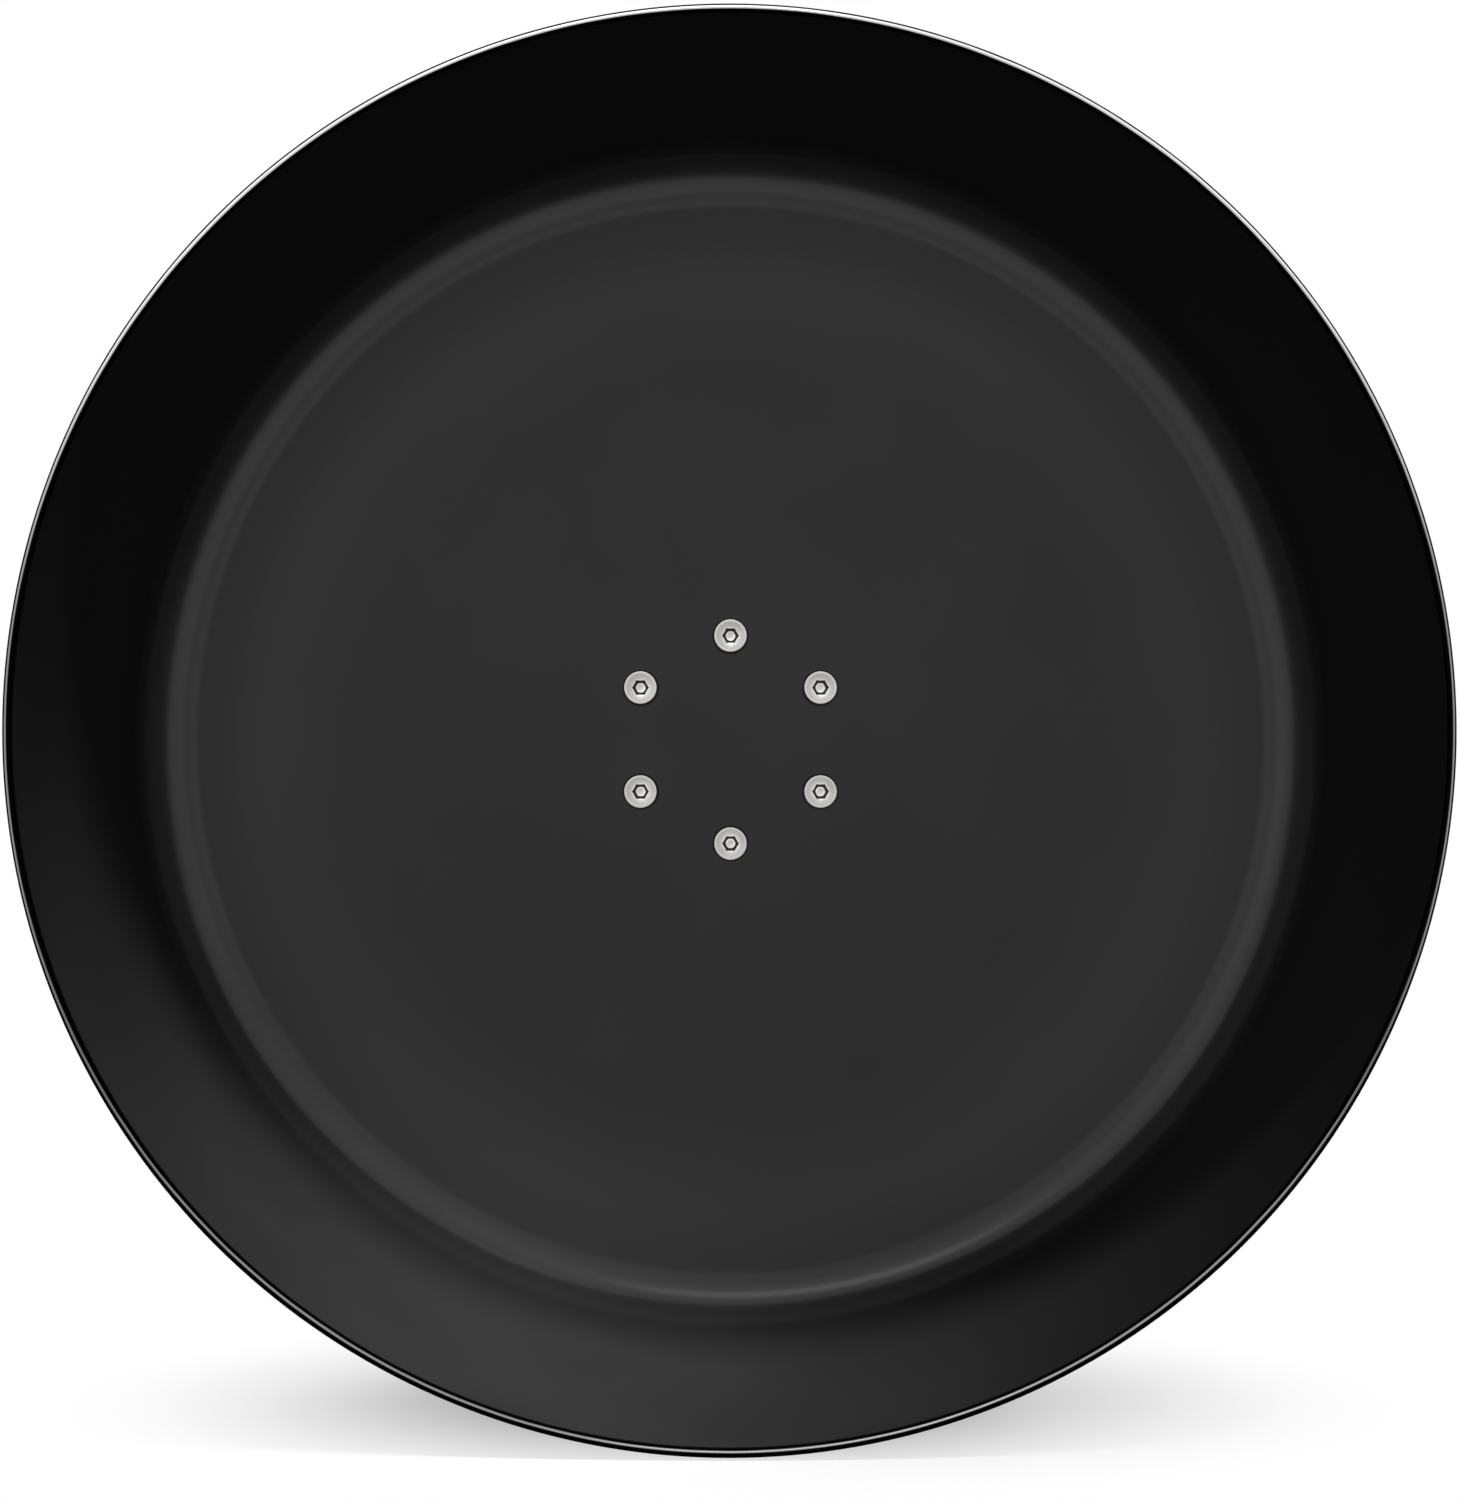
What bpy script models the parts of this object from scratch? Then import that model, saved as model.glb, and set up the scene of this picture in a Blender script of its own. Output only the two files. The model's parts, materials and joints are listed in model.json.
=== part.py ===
"""Small animal exercise wheel that clamps to a cage wall. Metres, +Z up.

The running pan's open front faces -Y and the wheel spins about Y. The origin lies on the spin axis, in the
plane where the inner rubber pad meets the cage wall. Pieces are modelled with their local Z along the axle,
positive from the pan towards the cage wall, and the empty axle_line turns that Z on to the world's Y.
"""

import math

import bmesh
import bpy
from mathutils import Matrix, Vector

# Clearances
SEAT_GAP = 0.0003  # between faces that rest on each other
FIT_GAP = 0.0003  # radial, between a fixed piece and the hole it sits in
RACE_PLAY = 0.0002  # between a ball and its track
SEAL_GAP = 0.0002  # between a seal's lip and the inner race
CUT_OVERRUN = 0.002  # how far a cutter runs past what it cuts
MERGE_DISTANCE = 0.00001

# Running pan, spun from sheet steel
PAN_DIAMETER = 0.381
PAN_DEPTH = 0.127
PAN_WALL = 0.0012
PAN_DRAFT = math.radians(1.0)
BEND_RADIUS = 0.015  # inside, from the flat back to the wall
BEAD_RADIUS = 0.0012  # the rim is curled outwards into a bead
BACK_RINGS_MARGIN = 0.003  # the back's edge rings stand this far clear of the screw holes

# M6 fasteners through the pan's back and the housing's flange
SCREW_COUNT = 6
SCREW_START = math.radians(-90)  # the first screw is at the top
SCREW_RADIUS = 0.003
SCREW_LENGTH = 0.018
SCREW_HEAD_RADIUS = 0.00525
SCREW_HEAD_HEIGHT = 0.0033
SCREW_HEAD_EDGE = 0.0023  # straight side below the rounded corner
SCREW_HEAD_TOP_RADIUS = 0.0044
SOCKET_WIDTH = 0.004  # across the flats
SOCKET_DEPTH = 0.0020
SCREW_TIP_CHAMFER = 0.0006
WASHER_RADIUS = 0.006
WASHER_THICKNESS = 0.0016
LOCK_NUT_WIDTH = 0.010  # across the flats
LOCK_NUT_HEX_HEIGHT = 0.0044
LOCK_NUT_COLLAR_HEIGHT = 0.0016
LOCK_NUT_COLLAR_RADIUS = 0.0043

# Ball bearings, 10 x 26 x 8 mm
BEARING_RADIUS = 0.013
BEARING_WIDTH = 0.008
BEARING_CHAMFER = 0.0003
BALL_COUNT = 7
BALL_RADIUS = 0.00238
PITCH_RADIUS = 0.009
RACE_SHOULDER = 0.0006  # how far each track's shoulder stands clear of the ball's reach
SEAL_THICKNESS = 0.0006
SEAL_RECESS = 0.00015  # the seal lies this far below the bearing's face
SEAL_SEAT_STEP = 0.0007  # the seal's seat is this much wider than the track's shoulder
RETAINER_THICKNESS = 0.0016  # radial
RETAINER_OPEN_REACH = 0.0011  # how far the fingers pass the balls' middle
POCKET_GAP = 0.0003

# Axle and what is stacked on it
AXLE_RADIUS = 0.005
AXLE_HEAD_RADIUS = 0.008
AXLE_HEAD_HEIGHT = 0.004
AXLE_HEAD_CHAMFER = 0.0006
AXLE_TIP_CHAMFER = 0.001
AXLE_BEYOND_NUT = 0.0017  # thread left when the wing nut is screwed right out
SLEEVE_WALL = 0.0017
SHIM_THICKNESS = 0.001
CENTRE_SPACER_LENGTH = 0.012
REAR_SPACER_LENGTH = 0.008
JAM_NUT_WIDTH = 0.016  # across the flats
JAM_NUT_HEIGHT = 0.005
HEAD_ROOM = 0.0015  # between the axle's head and the pan

# Bearing housing, cast
HOUSING_WALL = 0.0075  # boss wall round the bearings, at its rear end
BOSS_DRAFT = math.radians(1.5)
BOSS_CHAMFER = 0.0012
FLANGE_THICKNESS = 0.006
FLANGE_EDGE = 0.0028  # flange beyond the washers
FLANGE_CHAMFER = 0.0008
FILLET_RADIUS = 0.003
SPANNER_ROOM = 0.0027  # between the fillet's foot and the washers
RING_THICKNESS = 0.0012
RING_WIDTH = 0.0022  # radial
RING_BITE = 0.0009  # how deep the ring sits in its groove
RING_GROOVE_PLAY = 0.00025  # at each side of the ring
RING_OPENING = math.radians(26.0)
RING_LUG_REACH = 0.0026  # how far the lugs stand inwards
RING_LUG_SPREAD = math.radians(15.0)
RING_LUG_HOLE_RADIUS = 0.00065
REAR_LAND = 0.002  # boss beyond the ring groove
RIB_COUNT = 6
RIB_THICKNESS = 0.004
RIB_HEIGHT = 0.020  # up the boss
RIB_EDGE = 0.002  # height of the rib's foot at its outer end
RIB_SINK = 0.0015  # how far a rib is let into the boss and flange

# Cage clamp
PLATE_WIDTH = 0.090
PLATE_THICKNESS = 0.003
PLATE_CORNER_RADIUS = 0.014
PLATE_EDGE_ROUND = 0.0005
PAD_THICKNESS = 0.002
PAD_MARGIN = 0.003  # plate left bare round the pad
CAGE_GAP = 0.006  # room for the cage wall at rest
CLAMP_TRAVEL = 0.018  # how far the outer plate backs off
CLAMP_WASHER_RADIUS = 0.0105
CLAMP_WASHER_THICKNESS = 0.002
WING_NUT_HUB_RADIUS = 0.010  # at its seat
WING_NUT_TOP_RADIUS = 0.0082
WING_NUT_HUB_HEIGHT = 0.011
WING_NUT_CHAMFER = 0.0008
WING_SPAN = 0.051
WING_HEIGHT = 0.025
WING_THICKNESS = 0.0028
WING_TIP_RADIUS = 0.0062
WING_ROOT_HEIGHT = 0.0015
WING_ROOT_SHARE = 0.5  # how far into the hub each wing starts, as a share of the hub's top radius
WING_TIP_TURN = (-40, 165)  # degrees of the round tip, from its outer side to its inner side

# Facets round each turned shape, and along its arcs
PAN_STEPS = 64
HOUSING_STEPS = 36
RACE_STEPS = 24
RING_STEPS = 20
AXLE_STEPS = 20
FASTENER_STEPS = 14
HOLE_SIDES = 12
BEND_STEPS = 6
BEAD_STEPS = 8
ARC_STEPS = 4
POCKET_FACETS = (10, 6)  # round and down each pocket of a retainer
BALL_STEPS = 2  # times each ball's faces are divided
SHARP_ANGLE = math.radians(32.0)

# Sizes that follow from those above
HALF_BEARING = BEARING_WIDTH / 2
RACE_BORE_RADIUS = AXLE_RADIUS + FIT_GAP
SLEEVE_RADIUS = RACE_BORE_RADIUS + SLEEVE_WALL
TRACK_RADIUS = BALL_RADIUS + RACE_PLAY
OUTER_SHOULDER_RADIUS = PITCH_RADIUS + TRACK_RADIUS - RACE_SHOULDER
INNER_SHOULDER_RADIUS = PITCH_RADIUS - TRACK_RADIUS + RACE_SHOULDER
SEAL_SEAT_RADIUS = OUTER_SHOULDER_RADIUS + SEAL_SEAT_STEP
HOUSING_BORE_RADIUS = BEARING_RADIUS + FIT_GAP
HEAD_POCKET_RADIUS = SEAL_SEAT_RADIUS
SCREW_HOLE_RADIUS = SCREW_RADIUS + FIT_GAP
AXLE_HOLE_RADIUS = AXLE_RADIUS + FIT_GAP
BOSS_RADIUS = HOUSING_BORE_RADIUS + HOUSING_WALL
RING_GROOVE_RADIUS = HOUSING_BORE_RADIUS + RING_BITE + SEAT_GAP
RING_RADIUS = HOUSING_BORE_RADIUS + RING_BITE

# Places along the axle, from the cage wall towards the pan
INNER_PLATE_REAR = -PAD_THICKNESS - SEAT_GAP
JAM_NUT_REAR = INNER_PLATE_REAR - PLATE_THICKNESS - SEAT_GAP
REAR_SPACER_REAR = JAM_NUT_REAR - JAM_NUT_HEIGHT - SEAT_GAP
REAR_BEARING_REAR = REAR_SPACER_REAR - REAR_SPACER_LENGTH - SEAT_GAP
REAR_BEARING_MIDDLE = REAR_BEARING_REAR - HALF_BEARING
CENTRE_SPACER_REAR = REAR_BEARING_REAR - BEARING_WIDTH - SEAT_GAP
FRONT_BEARING_REAR = CENTRE_SPACER_REAR - CENTRE_SPACER_LENGTH - SEAT_GAP
FRONT_BEARING_MIDDLE = FRONT_BEARING_REAR - HALF_BEARING
BORE_SHOULDER = FRONT_BEARING_REAR - BEARING_WIDTH - SEAT_GAP
SHIM_REAR = BORE_SHOULDER
AXLE_HEAD_REAR = SHIM_REAR - SHIM_THICKNESS - SEAT_GAP
PAN_BACK_REAR = AXLE_HEAD_REAR - AXLE_HEAD_HEIGHT - HEAD_ROOM
PAN_BACK_FRONT = PAN_BACK_REAR - PAN_WALL
PAN_RIM = PAN_BACK_REAR - PAN_DEPTH
FLANGE_FRONT = PAN_BACK_REAR + SEAT_GAP
FLANGE_REAR = FLANGE_FRONT + FLANGE_THICKNESS
WASHER_FRONT = FLANGE_REAR + SEAT_GAP
LOCK_NUT_FRONT = WASHER_FRONT + WASHER_THICKNESS + SEAT_GAP
SCREW_SEAT = PAN_BACK_FRONT - SEAT_GAP
RING_FRONT = REAR_BEARING_REAR + SEAT_GAP
GROOVE_FRONT = RING_FRONT - RING_GROOVE_PLAY
GROOVE_REAR = RING_FRONT + RING_THICKNESS + RING_GROOVE_PLAY
BOSS_REAR = GROOVE_REAR + REAR_LAND

# Places along the axle, from the cage wall outwards
OUTER_PLATE_FRONT = CAGE_GAP + PAD_THICKNESS + SEAT_GAP
CLAMP_WASHER_FRONT = OUTER_PLATE_FRONT + PLATE_THICKNESS + SEAT_GAP
WING_NUT_FRONT = CLAMP_WASHER_FRONT + CLAMP_WASHER_THICKNESS + SEAT_GAP
AXLE_END = WING_NUT_FRONT + WING_NUT_HUB_HEIGHT + CLAMP_TRAVEL + AXLE_BEYOND_NUT

# The boss widens by its draft towards the flange, and the screws stand clear of its foot
BOSS_FOOT_RADIUS = BOSS_RADIUS + (BOSS_REAR - FLANGE_REAR) * math.tan(BOSS_DRAFT)
SCREW_CIRCLE_RADIUS = BOSS_FOOT_RADIUS + FILLET_RADIUS + SPANNER_ROOM + WASHER_RADIUS
FLANGE_RADIUS = SCREW_CIRCLE_RADIUS + WASHER_RADIUS + FLANGE_EDGE


def clear_scene():
    for obj in list(bpy.data.objects):
        bpy.data.objects.remove(obj, do_unlink=True)


def new_collection(name):
    collection = bpy.data.collections.new(name)
    bpy.context.scene.collection.children.link(collection)
    return collection


def new_finish(name, colour, roughness, metallic):
    finish = bpy.data.materials.new(name)
    finish.use_nodes = True
    shader = finish.node_tree.nodes["Principled BSDF"]
    shader.inputs["Base Color"].default_value = (*colour, 1.0)
    shader.inputs["Roughness"].default_value = roughness
    shader.inputs["Metallic"].default_value = metallic
    finish.diffuse_color = (*colour, 1.0)
    return finish


clear_scene()
PARTS = new_collection("small_animal_exercise_wheel")
CUTTERS = new_collection("cutters")
BLACK_COAT = new_finish("black_coat", (0.027, 0.027, 0.028), 0.42, 0.0)
STAINLESS = new_finish("stainless", (0.56, 0.55, 0.53), 0.30, 1.0)
CAST_ALUMINIUM = new_finish("cast_aluminium", (0.50, 0.50, 0.51), 0.48, 1.0)
ZINC_STEEL = new_finish("zinc_steel", (0.60, 0.61, 0.63), 0.34, 1.0)
BEARING_STEEL = new_finish("bearing_steel", (0.62, 0.62, 0.63), 0.16, 1.0)
SPRING_STEEL = new_finish("spring_steel", (0.09, 0.09, 0.10), 0.35, 1.0)
NYLON = new_finish("nylon", (0.72, 0.68, 0.58), 0.50, 0.0)
RUBBER = new_finish("rubber", (0.022, 0.022, 0.022), 0.75, 0.0)


def new_object(name, data, parent, place=0.0, collection=None):
    """An object on the axle's line, at a place along its parent's Z."""
    obj = bpy.data.objects.new(name, data)
    (collection or PARTS).objects.link(obj)
    obj.parent = parent
    obj.location = (0.0, 0.0, place)
    return obj


def new_axis(name, parent=None, place=0.0):
    axis = new_object(name, None, parent, place)
    axis.empty_display_type = "SINGLE_ARROW"
    axis.empty_display_size = AXLE_END
    return axis


def new_cutter(name, mesh, parent, place=0.0):
    cutter = new_object(name, mesh, parent, place, CUTTERS)
    cutter.hide_render = True
    cutter.display_type = "WIRE"
    return cutter


def baked(obj):
    """Turns the object's modifiers into a plain mesh, shaded smooth between its sharp edges."""
    graph = bpy.context.evaluated_depsgraph_get()
    mesh = bpy.data.meshes.new_from_object(obj.evaluated_get(graph))
    mesh.name = obj.name
    mesh.shade_smooth()
    mesh.set_sharp_from_angle(angle=SHARP_ANGLE)
    obj.modifiers.clear()
    obj.data = mesh
    return obj


def finished(obj, finish):
    baked(obj)
    obj.data.materials.clear()
    obj.data.materials.append(finish)
    return obj


def turned(name, profile, parent, place=0.0, steps=RING_STEPS, ring=True, cutter=False):
    """A turned shape about the local Z. Its profile of (radius, height) runs down the outer side first."""
    mesh = bpy.data.meshes.new(name)
    points = [(radius, 0.0, height) for radius, height in profile]
    edges = [(i, i + 1) for i in range(len(points) - 1)]
    if ring:
        edges.append((len(points) - 1, 0))
    mesh.from_pydata(points, edges, [])
    obj = new_cutter(name, mesh, parent, place) if cutter else new_object(name, mesh, parent, place)
    screw = obj.modifiers.new("Turn", "SCREW")
    screw.axis = "Z"
    screw.angle = math.tau
    screw.steps = steps
    screw.render_steps = steps
    screw.use_merge_vertices = True
    screw.merge_threshold = MERGE_DISTANCE
    return obj


def tube_profile(outer_radius, inner_radius, length, chamfer=0.0):
    """A plain ring or sleeve from height 0 up to its length, with its outer corners chamfered."""
    if not chamfer:
        outer = [(outer_radius, length), (outer_radius, 0.0)]
    else:
        outer = [(outer_radius - chamfer, length), (outer_radius, length - chamfer)]
        outer += [(outer_radius, chamfer), (outer_radius - chamfer, 0.0)]
    return outer + [(inner_radius, 0.0), (inner_radius, length)]


def arc(centre, radius, start, end, steps):
    """Points on an arc in degrees, both ends included."""
    turns = [math.radians(start + (end - start) * i / steps) for i in range(steps + 1)]
    return [(centre[0] + radius * math.cos(t), centre[1] + radius * math.sin(t)) for t in turns]


def combine(obj, other, operation="DIFFERENCE"):
    boolean = obj.modifiers.new(other.name, "BOOLEAN")
    boolean.object = other
    boolean.operation = operation
    boolean.solver = "EXACT"


def add_prism(mesh_edit, radius, low, high, sides, centre=(0.0, 0.0), turn=0.0):
    """Adds an upright prism to a mesh under edit, with one corner turned from the local Y."""
    middle = Vector((centre[0], centre[1], (low + high) / 2))
    place = Matrix.Translation(middle) @ Matrix.Rotation(turn, 4, "Z")
    size = {"radius1": radius, "radius2": radius, "depth": high - low}
    bmesh.ops.create_cone(mesh_edit, cap_ends=True, segments=sides, matrix=place, **size)


def prisms(name, places, radius, low, high, sides, turn=0.0):
    """A mesh of like prisms, one at each place."""
    mesh = bpy.data.meshes.new(name)
    edit = bmesh.new()
    for centre in places:
        add_prism(edit, radius, low, high, sides, centre, turn)
    edit.to_mesh(mesh)
    edit.free()
    return mesh


def circle_places(radius, count, start=0.0):
    turns = [start + math.tau * i / count for i in range(count)]
    return [(radius * math.cos(t), radius * math.sin(t)) for t in turns]


def screw_places():
    return circle_places(SCREW_CIRCLE_RADIUS, SCREW_COUNT, SCREW_START)


def outline_solid(name, loops, thickness, parent, place=0.0, collection=None):
    """A flat piece from closed loops in the local XY plane, from its place up by its thickness."""
    curve = bpy.data.curves.new(name, "CURVE")
    curve.dimensions = "2D"
    curve.fill_mode = "BOTH"
    curve.extrude = thickness / 2
    for loop in loops:
        spline = curve.splines.new("POLY")
        spline.points.add(len(loop) - 1)
        for point, (x, y) in zip(spline.points, loop):
            point.co = (x, y, 0.0, 1.0)
        spline.use_cyclic_u = True
    guide = new_object(name + "_outline", curve, parent, place + thickness / 2, CUTTERS)
    graph = bpy.context.evaluated_depsgraph_get()
    mesh = bpy.data.meshes.new_from_object(guide.evaluated_get(graph))
    edit = bmesh.new()
    edit.from_mesh(mesh)
    bmesh.ops.remove_doubles(edit, verts=edit.verts, dist=MERGE_DISTANCE)
    bmesh.ops.recalc_face_normals(edit, faces=edit.faces)
    edit.to_mesh(mesh)
    edit.free()
    obj = new_object(name, mesh, parent, guide.location.z, collection)
    bpy.data.objects.remove(guide)
    return obj


def circle_loop(radius, sides=HOLE_SIDES, centre=(0.0, 0.0)):
    """A closed loop round a centre."""
    return [(centre[0] + x, centre[1] + y) for x, y in circle_places(radius, sides)]


def rounded_square(width, corner_radius):
    """A closed loop with four round corners."""
    inset = width / 2 - corner_radius
    loop = []
    for quarter, (side_x, side_y) in enumerate([(1, 1), (-1, 1), (-1, -1), (1, -1)]):
        centre = (side_x * inset, side_y * inset)
        loop += arc(centre, corner_radius, 90 * quarter, 90 * quarter + 90, ARC_STEPS)
    return loop


def pan_profile():
    """The spun section: flat back, bend, drafted wall and curled bead, first outside and then inside."""
    bend_height = PAN_BACK_FRONT - BEND_RADIUS
    bead_centre = (PAN_DIAMETER / 2 - BEAD_RADIUS, PAN_RIM + BEAD_RADIUS)
    draft_degrees = math.degrees(PAN_DRAFT)
    wall_height = bend_height + BEND_RADIUS * math.sin(PAN_DRAFT) - bead_centre[1]
    wall_root = bead_centre[0] - BEAD_RADIUS - wall_height * math.tan(PAN_DRAFT)
    bend_centre = (wall_root - BEND_RADIUS * math.cos(PAN_DRAFT), bend_height)
    outside = arc(bend_centre, BEND_RADIUS + PAN_WALL, 90, draft_degrees, BEND_STEPS)
    inside = arc(bend_centre, BEND_RADIUS, draft_degrees, 90, BEND_STEPS)
    wall_meets_bead = math.degrees(math.acos(PAN_WALL / BEAD_RADIUS - 1))
    bead = arc(bead_centre, BEAD_RADIUS, wall_meets_bead, -180, BEAD_STEPS)
    reach = SCREW_HOLE_RADIUS + BACK_RINGS_MARGIN
    rings = [SCREW_CIRCLE_RADIUS - reach, SCREW_CIRCLE_RADIUS + reach]
    back_outside = [(0.0, PAN_BACK_REAR)] + [(ring, PAN_BACK_REAR) for ring in rings]
    back_inside = [(ring, PAN_BACK_FRONT) for ring in reversed(rings)] + [(0.0, PAN_BACK_FRONT)]
    return back_outside + outside + bead + inside + back_inside


def running_pan(parent):
    pan = turned("running_pan", pan_profile(), parent, steps=PAN_STEPS, ring=False)
    low, high = PAN_BACK_FRONT - CUT_OVERRUN, PAN_BACK_REAR + CUT_OVERRUN
    holes = prisms("pan_holes", screw_places(), SCREW_HOLE_RADIUS, low, high, HOLE_SIDES)
    combine(pan, new_cutter("pan_holes", holes, parent))
    return finished(pan, BLACK_COAT)


def housing_profile():
    """Cast boss and flange with a stepped bore: ring groove, bearing bore, shoulder and head pocket."""
    fillet_centre = (BOSS_FOOT_RADIUS + FILLET_RADIUS, FLANGE_REAR + FILLET_RADIUS)
    outside = [(BOSS_RADIUS - BOSS_CHAMFER, BOSS_REAR), (BOSS_RADIUS, BOSS_REAR - BOSS_CHAMFER)]
    outside += arc(fillet_centre, FILLET_RADIUS, 180, 270, ARC_STEPS)
    outside += [(FLANGE_RADIUS - FLANGE_CHAMFER, FLANGE_REAR), (FLANGE_RADIUS, FLANGE_REAR - FLANGE_CHAMFER)]
    outside += [(FLANGE_RADIUS, FLANGE_FRONT)]
    inside = [(HEAD_POCKET_RADIUS, FLANGE_FRONT), (HEAD_POCKET_RADIUS, BORE_SHOULDER)]
    inside += [(HOUSING_BORE_RADIUS, BORE_SHOULDER), (HOUSING_BORE_RADIUS, GROOVE_FRONT)]
    inside += [(RING_GROOVE_RADIUS, GROOVE_FRONT), (RING_GROOVE_RADIUS, GROOVE_REAR)]
    inside += [(HOUSING_BORE_RADIUS, GROOVE_REAR), (HOUSING_BORE_RADIUS, BOSS_REAR)]
    return outside + inside


def rib_outline():
    """One rib seen from its side: radius along X, height along Y, with a hollow curved back."""
    foot = SCREW_CIRCLE_RADIUS
    root = BOSS_FOOT_RADIUS - RIB_SINK
    top = FLANGE_REAR + RIB_HEIGHT
    sweep = arc((foot, top), 1.0, 180, 270, ARC_STEPS)
    hollow_width = foot - BOSS_FOOT_RADIUS
    hollow_height = RIB_HEIGHT - RIB_EDGE
    hollow = [(foot + (x - foot) * hollow_width, top + (y - top) * hollow_height) for x, y in sweep]
    bottom = FLANGE_REAR - RIB_SINK
    return [(root, bottom), (root, top)] + hollow + [(foot, bottom)]


def rib_set(parent):
    """All the ribs as one mesh of separate bodies, each standing midway between two screws."""
    rib = outline_solid("rib", [rib_outline()], RIB_THICKNESS, parent, -RIB_THICKNESS / 2, CUTTERS)
    edit = bmesh.new()
    for i in range(RIB_COUNT):
        stand = Matrix.Rotation(math.tau * (i + 0.5) / RIB_COUNT + SCREW_START, 4, "Z")
        upright = stand @ Matrix.Rotation(math.radians(90), 4, "X")
        copy = bmesh.new()
        copy.from_mesh(rib.data)
        bmesh.ops.transform(copy, matrix=upright, verts=copy.verts)
        part = bpy.data.meshes.new("rib_copy")
        copy.to_mesh(part)
        copy.free()
        edit.from_mesh(part)
        bpy.data.meshes.remove(part)
    mesh = bpy.data.meshes.new("ribs")
    edit.to_mesh(mesh)
    edit.free()
    bpy.data.objects.remove(rib)
    return new_cutter("ribs", mesh, parent)


def bearing_housing(parent):
    housing = turned("bearing_housing", housing_profile(), parent, steps=HOUSING_STEPS)
    combine(housing, rib_set(parent), "UNION")
    low, high = FLANGE_FRONT - CUT_OVERRUN, FLANGE_REAR + CUT_OVERRUN
    holes = prisms("flange_holes", screw_places(), SCREW_HOLE_RADIUS, low, high, HOLE_SIDES)
    combine(housing, new_cutter("flange_holes", holes, parent))
    return finished(housing, CAST_ALUMINIUM)


def copies(first, name, parent, place):
    """The first piece and its copies, which share its mesh, one at each screw."""
    for i, (x, y) in enumerate(screw_places()):
        piece = first if i == 0 else new_object(f"{name}_{i + 1}", first.data, parent)
        piece.location = (x, y, place)


def screw_profile():
    """Height 0 is the head's seat, the shank runs up and the low, flat head hangs down."""
    tip = [(0.0, SCREW_LENGTH), (SCREW_RADIUS - SCREW_TIP_CHAMFER, SCREW_LENGTH)]
    tip += [(SCREW_RADIUS, SCREW_LENGTH - SCREW_TIP_CHAMFER), (SCREW_RADIUS, 0.0)]
    corner_width = SCREW_HEAD_RADIUS - SCREW_HEAD_TOP_RADIUS
    corner_height = SCREW_HEAD_HEIGHT - SCREW_HEAD_EDGE
    corner = []
    for x, y in arc((0.0, 0.0), 1.0, 0, 90, ARC_STEPS - 1):
        corner.append((SCREW_HEAD_TOP_RADIUS + x * corner_width, -SCREW_HEAD_EDGE - y * corner_height))
    return tip + [(SCREW_HEAD_RADIUS, 0.0)] + corner + [(0.0, -SCREW_HEAD_HEIGHT)]


def hex_radius(width):
    """Corner radius of a hexagon from its width across the flats."""
    return width / 2 / math.cos(math.radians(30))


def pan_screws(parent):
    screw = turned("pan_screw_1", screw_profile(), parent, steps=FASTENER_STEPS, ring=False)
    low, high = -SCREW_HEAD_HEIGHT - CUT_OVERRUN, -SCREW_HEAD_HEIGHT + SOCKET_DEPTH
    # the socket's corners point left and right
    socket = prisms("screw_socket", [(0.0, 0.0)], hex_radius(SOCKET_WIDTH), low, high, 6, math.radians(30))
    combine(screw, new_cutter("screw_socket", socket, parent))
    copies(finished(screw, STAINLESS), "pan_screw", parent, SCREW_SEAT)


def flange_washers(parent):
    profile = tube_profile(WASHER_RADIUS, SCREW_HOLE_RADIUS, WASHER_THICKNESS)
    washer = turned("flange_washer_1", profile, parent, steps=FASTENER_STEPS)
    copies(finished(washer, ZINC_STEEL), "flange_washer", parent, WASHER_FRONT)


def nut_blank(name, width, height, parent, place=0.0):
    """A hexagon nut without its bore, its corners chamfered on both faces."""
    corner = hex_radius(width)
    prism = prisms(name, [(0.0, 0.0)], corner, 0.0, height, 6, math.radians(30))
    nut = new_object(name, prism, parent, place)
    chamfer = corner - width / 2
    # a lens that trims the corners: as wide as the corners in the middle and as the flats at both faces
    trim = [(0.0, height + chamfer), (width / 2 - chamfer, height + chamfer / 2)]
    trim += [(corner + chamfer, height - chamfer / 2), (corner + chamfer, chamfer / 2)]
    trim += [(width / 2 - chamfer, -chamfer / 2), (0.0, -chamfer)]
    lens = turned(name + "_trim", trim, parent, place, HOLE_SIDES, ring=False, cutter=True)
    combine(nut, baked(lens), "INTERSECT")
    return nut


def cut_bore(obj, radius, height, parent, place=0.0):
    """A hole right through along the local Z."""
    mesh = prisms(obj.name + "_bore", [(0.0, 0.0)], radius, -CUT_OVERRUN, height + CUT_OVERRUN, HOLE_SIDES)
    combine(obj, new_cutter(obj.name + "_bore", mesh, parent, place))


def lock_nuts(parent):
    """Hexagon nuts with the round collar that holds the locking insert."""
    nut = nut_blank("lock_nut_1", LOCK_NUT_WIDTH, LOCK_NUT_HEX_HEIGHT, parent)
    height = LOCK_NUT_HEX_HEIGHT + LOCK_NUT_COLLAR_HEIGHT
    inset = LOCK_NUT_COLLAR_HEIGHT / 2
    radius = LOCK_NUT_COLLAR_RADIUS
    profile = [(0.0, height), (radius - inset, height), (radius, height - inset)]
    profile += [(radius, inset), (0.0, inset)]
    collar = turned("lock_nut_collar", profile, parent, steps=FASTENER_STEPS, ring=False, cutter=True)
    combine(nut, baked(collar), "UNION")
    cut_bore(nut, SCREW_HOLE_RADIUS, height, parent)
    copies(finished(nut, ZINC_STEEL), "lock_nut", parent, LOCK_NUT_FRONT)


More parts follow.
